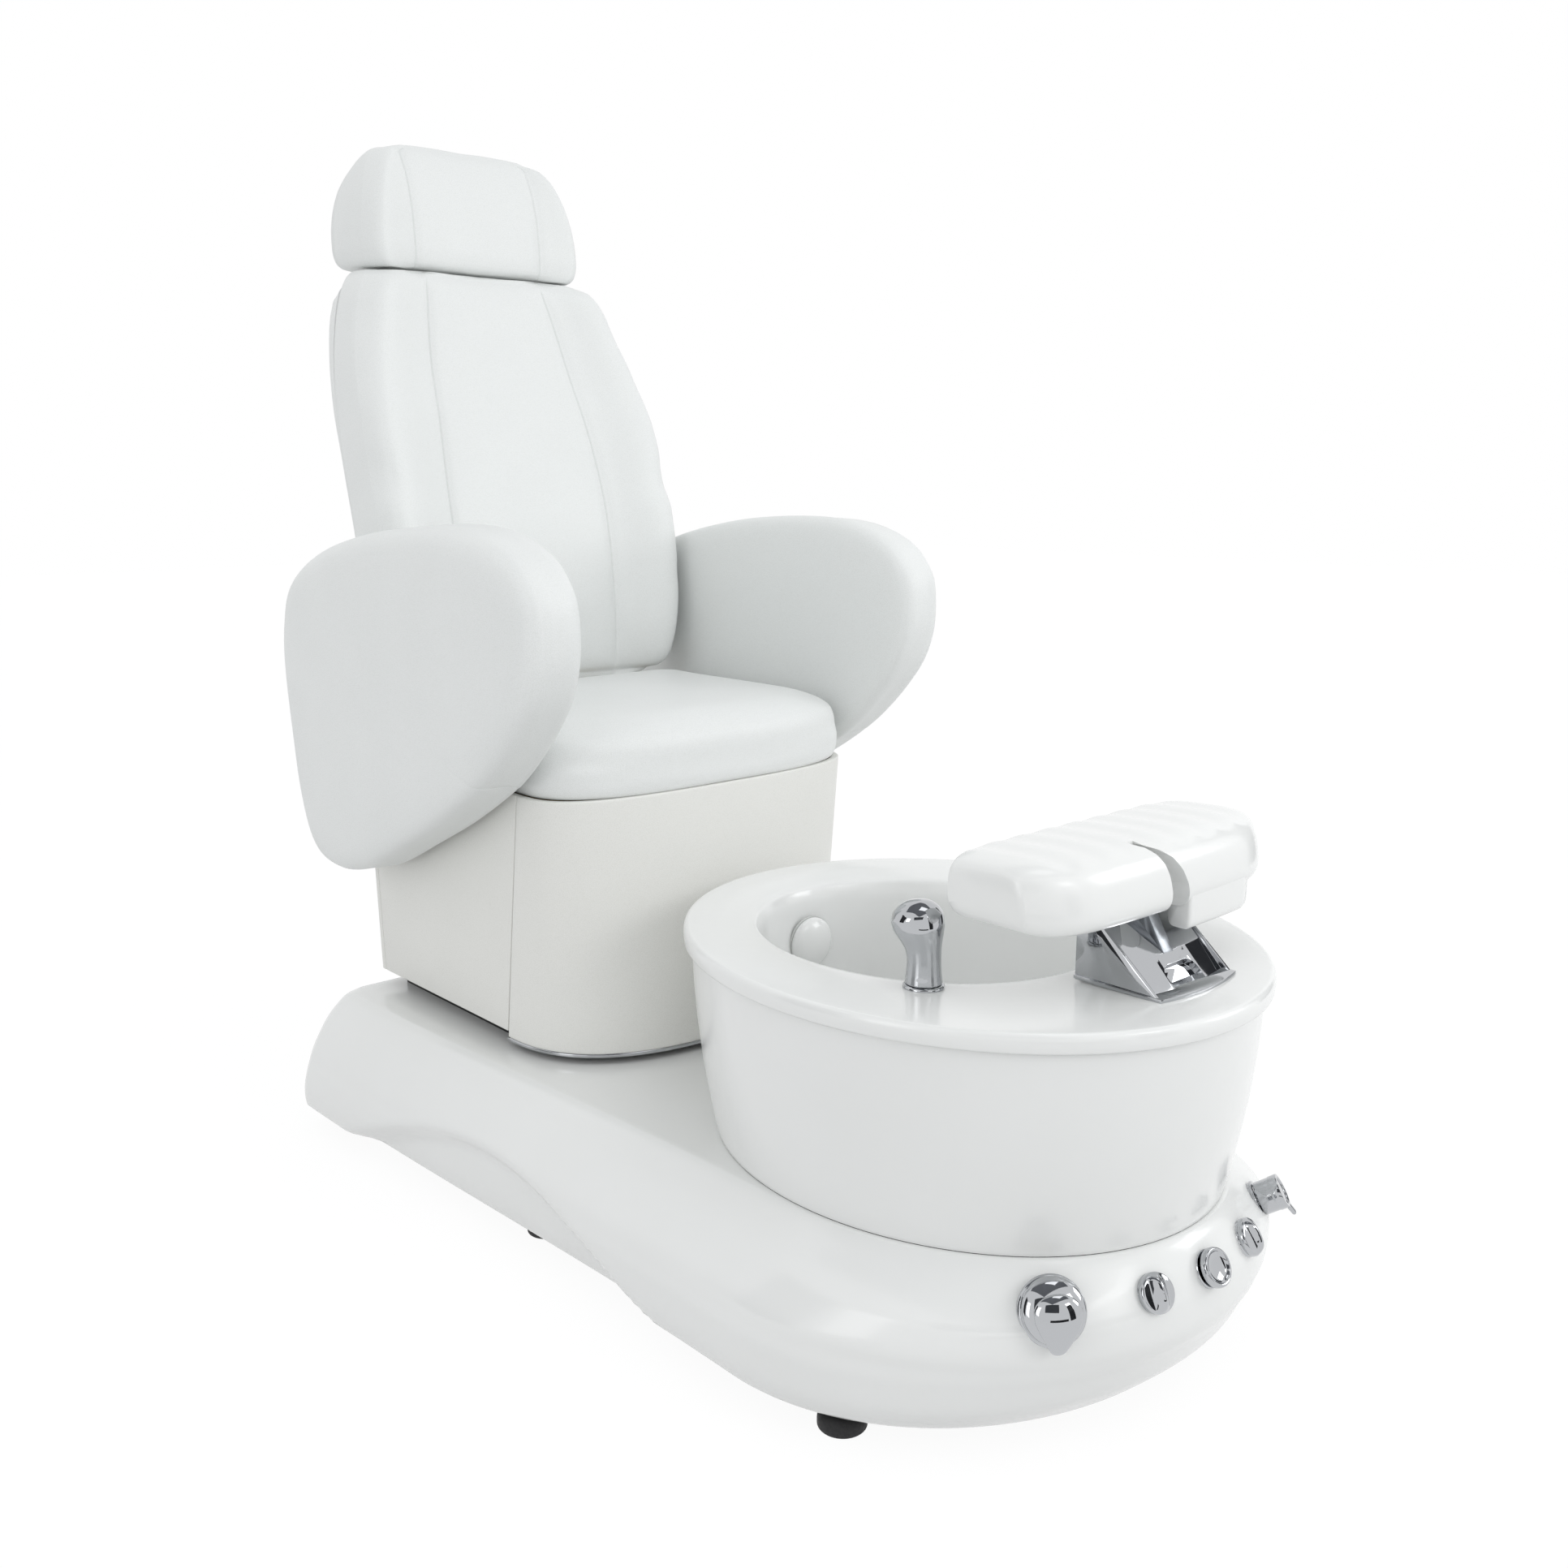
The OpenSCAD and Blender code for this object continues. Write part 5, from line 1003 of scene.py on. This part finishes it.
panel_levels = np.concatenate([[0, 0.012], np.linspace(0.03, 0.97, 18), [0.988, 1]])
box_front = ribbon("seat_box_front", *([panel_row(s, wall) for s in panel_levels] for wall in (0, PANEL_T)))
weld(box_front)
bevel(box_front, 1.6, 3, 50)
applied(box_front)
place(box_front, "base", vinyl_panel, "vinyl", "box_front")
strip = [0, 0.3, 0.7, 1]
box_trim = ribbon("seat_box_strip", [panel_row(0, -1 + 0.3 * abs(t - 0.5), PANEL_FOOT - 4 + 4 * t) for t in strip],
                  [panel_row(0, 8, PANEL_FOOT - 4 + 4 * t) for t in strip])
place(box_trim, "base", chrome, "chrome", "box_trim")
for name in ("box_side_right", "box_side_left", "box_rear_panel"):
    machined(name, "base", width=1.6, segments=3).data.materials[0] = vinyl_panel
machined("deck_plinth", "base", width=0.8)
print("front panel", len(box_front.data.polygons), "faces")

# %% [markdown]
# ## Collar controls
# The controls stand square to the sloped collar. A small frame on the collar, with X along it, Y up the
# slope and Z outward, lets each one be turned like work on a lathe and then set in its place.

# %% Places on the collar
COLLAR_A, COLLAR_B, COLLAR_E, COLLAR_Z, COLLAR_SINK = 308, 336, 0.936, 167.7, 2.5
CONTROL_TURNS = {"tap": -35, "diverter": -14.5, "button": -0.5, "drain": 13.5, "spray": 31}


def on_collar(turn):
    a = math.radians(abs(turn))
    sign = 1 if turn > 0 else -1
    out_, forward = COLLAR_A * math.sin(a) ** COLLAR_E, COLLAR_B * math.cos(a) ** COLLAR_E
    spot = np.array([sign * out_, TUB_Y - forward, COLLAR_Z])
    yaw = sign * math.atan2(math.sin(a) ** (2 - COLLAR_E) / COLLAR_A, math.cos(a) ** (2 - COLLAR_E) / COLLAR_B)
    c, s, lean = math.cos(yaw), math.sin(yaw), math.sin(math.radians(60))
    axes = np.array([(c, s, 0), (-0.5 * s, 0.5 * c, lean), (lean * s, -lean * c, 0.5)])
    return lambda points: spot + (np.asarray(points, float) - (0, 0, COLLAR_SINK)) @ axes


def turned(rows, at, count=64, relief=None):
    """Rings of a turned form from rows of [radius, height]; relief(x, y, radius) adds to its height."""
    a = np.radians(np.arange(count) * 360 / count)
    rings = []
    for r, z in rows:
        x, y = r * np.cos(a), r * np.sin(a)
        rings.append(at(np.stack([x, y, z + (relief(x, y, r) if relief else 0 * x)], 1)))
    return rings


def dome(r, foot, rise, steps=14):
    return [(r * math.cos(a), foot + rise * math.sin(a)) for a in np.radians(np.linspace(0, 89, steps))]


def fitting(name, rings, body, *replaced, material=None, finish="chrome", sharp=35):
    piece = skin(name, rings)
    piece.data.set_sharp_from_angle(angle=math.radians(sharp))
    return place(piece, body, material or chrome, finish, *replaced)


# %% [markdown]
# ## Mixer
# The mixer is a domed body on a ring, and its lever is a shield that covers the dome and hangs over the
# lower edge as a tapering tongue. The body is turned as on a lathe. The lever isn't round, so it is a
# rounded section swept down the dome.

# %% Mixer
tap_at = on_collar(CONTROL_TURNS["tap"])
TAP_R = 32
body_rows = [(12, -20), (12, 6.2), (TAP_R - 1, 6.2), (TAP_R, 7), (TAP_R, 9.2), (TAP_R - 0.7, 9.8), (TAP_R - 0.7, 10.4)]
fitting("mixer_body", turned(body_rows + dome(TAP_R - 0.3, 10.8, 12.5), tap_at), "tap", "tap_turret")
SHIELD = curve([
    [-39.8, 1.6, 1.2], [-39, 4.6, 2.6], [-37, 7.2, 4], [-33, 10.2, 4.6], [-26, 14.8, 5], [-17, 20, 5], [-8, 23.2, 5],
    [0, 23.6, 5], [6, 21, 5], [10, 17, 4.6], [13, 11.6, 3.8], [14.6, 6.5, 2.6], [15.2, 2.5, 1.2]])
shield_rings = []
for y in np.concatenate([np.linspace(-39.8, -36, 8), np.linspace(-34.5, 9, 30), np.linspace(10, 15.2, 9)]):
    wide, thick = SHIELD(y)
    a = np.radians(np.arange(0, 360, 10))
    x = wide * power(np.cos(a), 0.7)
    crown = 35.6 - 0.0145 * y * y - 6.5 * (x / 24) ** 2
    z = crown - 2.5 + thick / 2 * power(np.sin(a), 0.8)
    shield_rings.append(tap_at(np.stack([x, np.full(len(x), y), z], 1)))
fitting("mixer_lever", shield_rings[::-1], "tap_handle", "tap_lever", sharp=60)
print("lever", len(shield_rings), "rings")

# %% [markdown]
# ## Round controls
# Two of the round controls are domes with a finger bar across them, and the middle one is a dished push
# button. All three are pressed brass with a chrome skin, so their edges are soft, and each stands on a
# thin washer. The finger bar is raised out of the turned form by moving its points, which keeps the
# blend between bar and dome as smooth as a pressing.

# %% Round controls
KNOB_R = 20


def finger_bar(x, y, r):
    along = max(0, 1 - (r / (KNOB_R - 1.5)) ** 4)
    return along * (4.2 * np.exp(-(x / 4.6) ** 2) - 2.6 * (1 - np.exp(-(x / 7) ** 4)))


knob_foot = [(6, -18), (6, 3.8), (KNOB_R - 0.8, 3.8), (KNOB_R, 4.6), (KNOB_R, 7)]
for key, name, body in (
        ("diverter", "jet_diverter_knob", "diverter"), ("drain", "drain_control_knob", "drain_control")):
    rows = knob_foot + dome(KNOB_R - 0.1, 7.6, 8, 22)
    fitting(name, turned(rows, on_collar(CONTROL_TURNS[key]), relief=finger_bar), body, key + "_knob", sharp=60)
button_rows = [(6, -18), (6, 7.8), (KNOB_R - 0.8, 7.8), (KNOB_R, 8.6), (KNOB_R, 12), (19.3, 14.2), (17.9, 15.2),
               (16.3, 14.9), (15.2, 13.6), (13.6, 12.3), (10.5, 11.2), (6.5, 10.5), (3, 10.2), (0.3, 10.1)]
smooth_button = curve([[i, *row] for i, row in enumerate(button_rows[4:])])
button_rows = button_rows[:4] + [tuple(smooth_button(t)) for t in np.linspace(0, 9, 40)]
fitting("jet_push_button", turned(button_rows, on_collar(CONTROL_TURNS["button"])), "button", "jet_button")
washer_rows = [(7, 3.4), (7, -1), (19.3, -1), (19.3, 2), (18.5, 3.4), (7, 3.4)]
for key in ("diverter", "button", "drain"):
    washer = skin(f"{key}_washer", turned(washer_rows, on_collar(CONTROL_TURNS[key])), caps=(False, False))
    washer.data.set_sharp_from_angle(angle=math.radians(35))
    place(washer, "base", chrome, "chrome", *(["knob_bezels"] if key == "button" else []))
print("controls at", CONTROL_TURNS, "degrees")

# %% [markdown]
# ## Hand spray
# The hand spray is a turned barrel that widens a little towards its face, with a thumb lever at the rim.
# It is round all over, so one list of radius and height draws it.

# %% Hand spray
spray_at = on_collar(CONTROL_TURNS["spray"])
barrel = [(9, -60), (9, 3.6), (16, 3.6), (17.6, 4.2), (18.2, 5.4), (18.2, 19), (18.3, 20.2), (18.8, 21.4), (18.8, 29.4),
          (18.4, 30.2), (17.6, 30.4), (15.4, 30.4), (14.6, 30), (14.4, 29.2), (14, 28.8), (9, 29.2), (4, 29.4),
          (0.3, 29.4)]
fitting("spray_barrel", turned(barrel, spray_at), "spray", "spray_head")
print("spray", len(barrel), "rings")

# %% [markdown]
# ## Spout
# The spout rises as a waisted neck and swells into a bulb that leans over the bowl, where its mouth is
# bored. Its rows give height, lean and radius, and the rings tip with the lean, as in a bent tube. The
# mouth is cut with a boolean, because its round edge crosses the rings at a slant.

# %% Spout
SPOUT_X, SPOUT_Y, SPOUT_FOOT = -168, -479, 444.4
SPOUT_ROWS = curve([
    [0, 0, 19.5], [4, 0, 19], [12, 0, 18], [24, 0, 17.4], [34, 1, 18.2], [42, 3, 20.5], [50, 5.5, 23.8], [58, 8, 26.4],
    [66, 10.5, 27], [73, 12.5, 24.5], [79, 14, 19], [83, 15, 11], [84.2, 15.5, 4]])
SPOUT_LEAN = math.radians(14)
MOUTH_R, MOUTH_TIP = 11, math.radians(25)


def spout_ring(h):
    back, r = SPOUT_ROWS(h)
    tilt = SPOUT_LEAN * float(np.clip((h - 24) / 40, 0, 1))
    a = np.radians(np.arange(0, 360, 6))
    return np.stack([SPOUT_X + r * np.cos(a), SPOUT_Y + back + r * np.sin(a) * math.cos(tilt),
                     SPOUT_FOOT + h - r * np.sin(a) * math.sin(tilt)], 1)


spout_steps = np.concatenate([[0], np.linspace(2, 79, 60), [80, 81, 82, 82.8, 83.4, 83.9, 84.2]])
spout = skin("spout_body", [spout_ring(h) for h in spout_steps])
a = np.radians(np.arange(0, 360, 9))
way = np.array([0, math.cos(MOUTH_TIP), -math.sin(MOUTH_TIP)])
up_ = np.array([0, math.sin(MOUTH_TIP), math.cos(MOUTH_TIP)])
mouth = np.array([SPOUT_X, SPOUT_Y + 12, SPOUT_FOOT + 58])
bore = [mouth + way * d + MOUTH_R * (np.outer(np.cos(a), (1, 0, 0)) + np.outer(np.sin(a), up_)) for d in (0, 60)]
cut(spout, skin("bore", bore))
bevel(spout, 1.4, 3, 40)
applied(spout)
smooth(spout, 50)
place(spout, "spout", chrome, "chrome", "spout_swivel")
print("spout", len(spout.data.polygons), "faces")

# %% [markdown]
# ## Small fittings
# The remaining hard parts keep their measured shapes, with their edges broken by a small bevel that
# catches the light. The jet's cover is drawn anew as a smooth dome that faces the feet.

# %% Edged fittings
for node, body, width in (
        ("spout_base", "base", 0.6), ("tap_escutcheon", "base", 0.7),
        ("spray_socket", "base", 0.5), ("spray_lever", "spray_trigger", 0.8),
        ("foot_pads", "base", 1.0), ("drain_strainer", "base", 0.5),
        ("drain_stopper", "stopper", 0.5), ("inlet_unions", "base", 0.6), ("cable_gland", "base", 0.6)):
    machined(node, body, width=width)
JET_Y, JET_Z = -132.4, 368


def jet_at(points):
    x, y, z = np.moveaxis(np.asarray(points, float), -1, 0)
    return np.stack([x, JET_Y - z, JET_Z + y], -1)


cover_dome = [(4 + 29 * math.cos(a) - 4 * math.sin(a), 2 + 12 * math.sin(a))
              for a in np.radians(np.linspace(0, 90, 16))]
fitting("jet_dome", turned([(24, 0), (33, 0)] + cover_dome[:-1] + [(0.3, 14)], jet_at), "base", "jet_cover",
        material=gelcoat, finish="gelcoat")

# %% [markdown]
# ## Studio
# A white sweep in a pale room, with a soft key light from the tub's far side and weaker softboxes above,
# in front and on the near side. The room's own light does most of the work, so shadows stay soft. Dark
# cards that only mirrors can see stand beyond the frame, as in a product studio, because chrome in an
# all-white room would vanish.


# %% Floor and world
def seen_directly(tree):
    """One for rays from the camera, by mirror or through glass, and nought for the light that fills the room."""
    path = add(tree, "LightPath")
    seen = add(tree, "Math", {0: (path, "Is Camera Ray"), 1: (path, "Is Glossy Ray")}, operation="MAXIMUM")
    return add(tree, "Math", {0: (seen, "Value"), 1: (path, "Is Transmission Ray")}, operation="MAXIMUM")


def sheet(name, width, height):
    """A flat rectangle for the set."""
    mesh = bpy.data.meshes.new(name)
    w, h = width / 2, height / 2
    mesh.from_pydata([(-w, -h, 0), (w, -h, 0), (w, h, 0), (-w, h, 0)], [], [(0, 1, 2, 3)])
    made = bpy.data.objects.new(name, mesh)
    scene.collection.objects.link(made)
    return made


def aimed(item, where, aim):
    """Puts a lamp or card in its place, facing a point."""
    item.location = where
    item.rotation_euler = (Vector(aim) - Vector(where)).to_track_quat("-Z", "Y").to_euler()


FLOOR_WIDE = 28
floor = sheet("floor", FLOOR_WIDE, FLOOR_WIDE)
paper = bpy.data.materials.new("paper_sweep")
paper.use_nodes = True
tree = paper.node_tree
tree.nodes.clear()
FLOOR_GLOW = 0.9
seen = seen_directly(tree)
share = add(tree, "Math", {0: (seen, "Value")}, operation="MULTIPLY")
share.inputs[1].default_value = FLOOR_GLOW
matt = add(tree, "BsdfDiffuse", Color=linear("#D8D8D8"))
glow = add(tree, "Emission", Color=(1, 1, 1, 1), Strength=1.05)
both = add(tree, "MixShader", {"Fac": (share, "Value"), 1: (matt, "BSDF"), 2: (glow, "Emission")})
add(tree, "OutputMaterial", {"Surface": (both, "Shader")})
floor.data.materials.append(paper)

ROOM_LIGHT = 0.86
world = bpy.data.worlds.new("studio")
scene.world = world
world.use_nodes = True
tree = world.node_tree
tree.nodes.clear()
seen = seen_directly(tree)
room = add(tree, "Background", Color=(0.975, 0.985, 1.0, 1), Strength=ROOM_LIGHT)
white = add(tree, "Background", Color=(1, 1, 1, 1), Strength=1.0)
both = add(tree, "MixShader", {"Fac": (seen, "Value"), 1: (room, "Background"), 2: (white, "Background")})
add(tree, "OutputWorld", {"Surface": (both, "Shader")})


# %% Lamps and cards
def lamp(name, where, aim, width, height, watts, colour):
    data = bpy.data.lights.new(name, "AREA")
    data.shape = "RECTANGLE"
    data.size, data.size_y, data.energy, data.color = width, height, watts, colour
    made = bpy.data.objects.new(name, data)
    aimed(made, where, aim)
    scene.collection.objects.link(made)


lamp("softbox_top", (0.3, -1.0, 3.1), (0, -0.4, 0.3), 1.1, 1.1, 6, (1, 1, 1))
lamp("softbox_key", (2.6, -2.6, 1.9), (0, 0, 0.6), 1.2, 1.2, 18, (0.98, 0.99, 1))
lamp("softbox_front", (0.4, -3.5, 2.0), (0, 0, 0.6), 1.0, 1.4, 16, (1, 1, 1))
lamp("softbox_left", (-3.4, -0.4, 1.5), (0, 0.2, 0.7), 1.0, 1.8, 10, (1, 1, 1))


def card(name, where, aim, width, height, shade):
    made = sheet(name, width, height)
    aimed(made, where, aim)
    made.visible_camera = made.visible_diffuse = made.visible_shadow = False
    made.visible_transmission = False
    felt, _, _ = start_material(name + "_felt", Base_Color=linear(shade), Roughness=0.95, IOR=1.3)
    made.data.materials.append(felt)


for name, where, aim, width, height, shade in (
        ("card_left", (-2.7, 0.9, 1.0), (0, -0.3, 0.5), 1.2, 2.4, "#3A3B3D"),
        ("card_front", (0.3, -3.3, 0.9), (0, -0.5, 0.4), 0.9, 2.2, "#333436"),
        ("card_low", (-1.0, -2.3, 0.16), (-0.1, -0.7, 0.2), 1.5, 0.2, "#2E2F31"),
        ("card_right", (2.9, -1.0, 1.0), (0, -0.4, 0.5), 1.1, 2.2, "#3A3B3E"),
        ("card_camera", (-2.2, -2.6, 2.3), (0, -0.5, 0.4), 2.4, 1.6, "#56585B"),
        ("card_ceiling", (0, -0.6, 4.2), (0, -0.6, 0), 5.0, 5.0, "#8C8E92")):
    card(name, where, aim, width, height, shade)

# %% [markdown]
# ## Finish
# Colours go to the picture as they are written, without a film look.

# %% Render look
scene.view_settings.view_transform = "Standard"
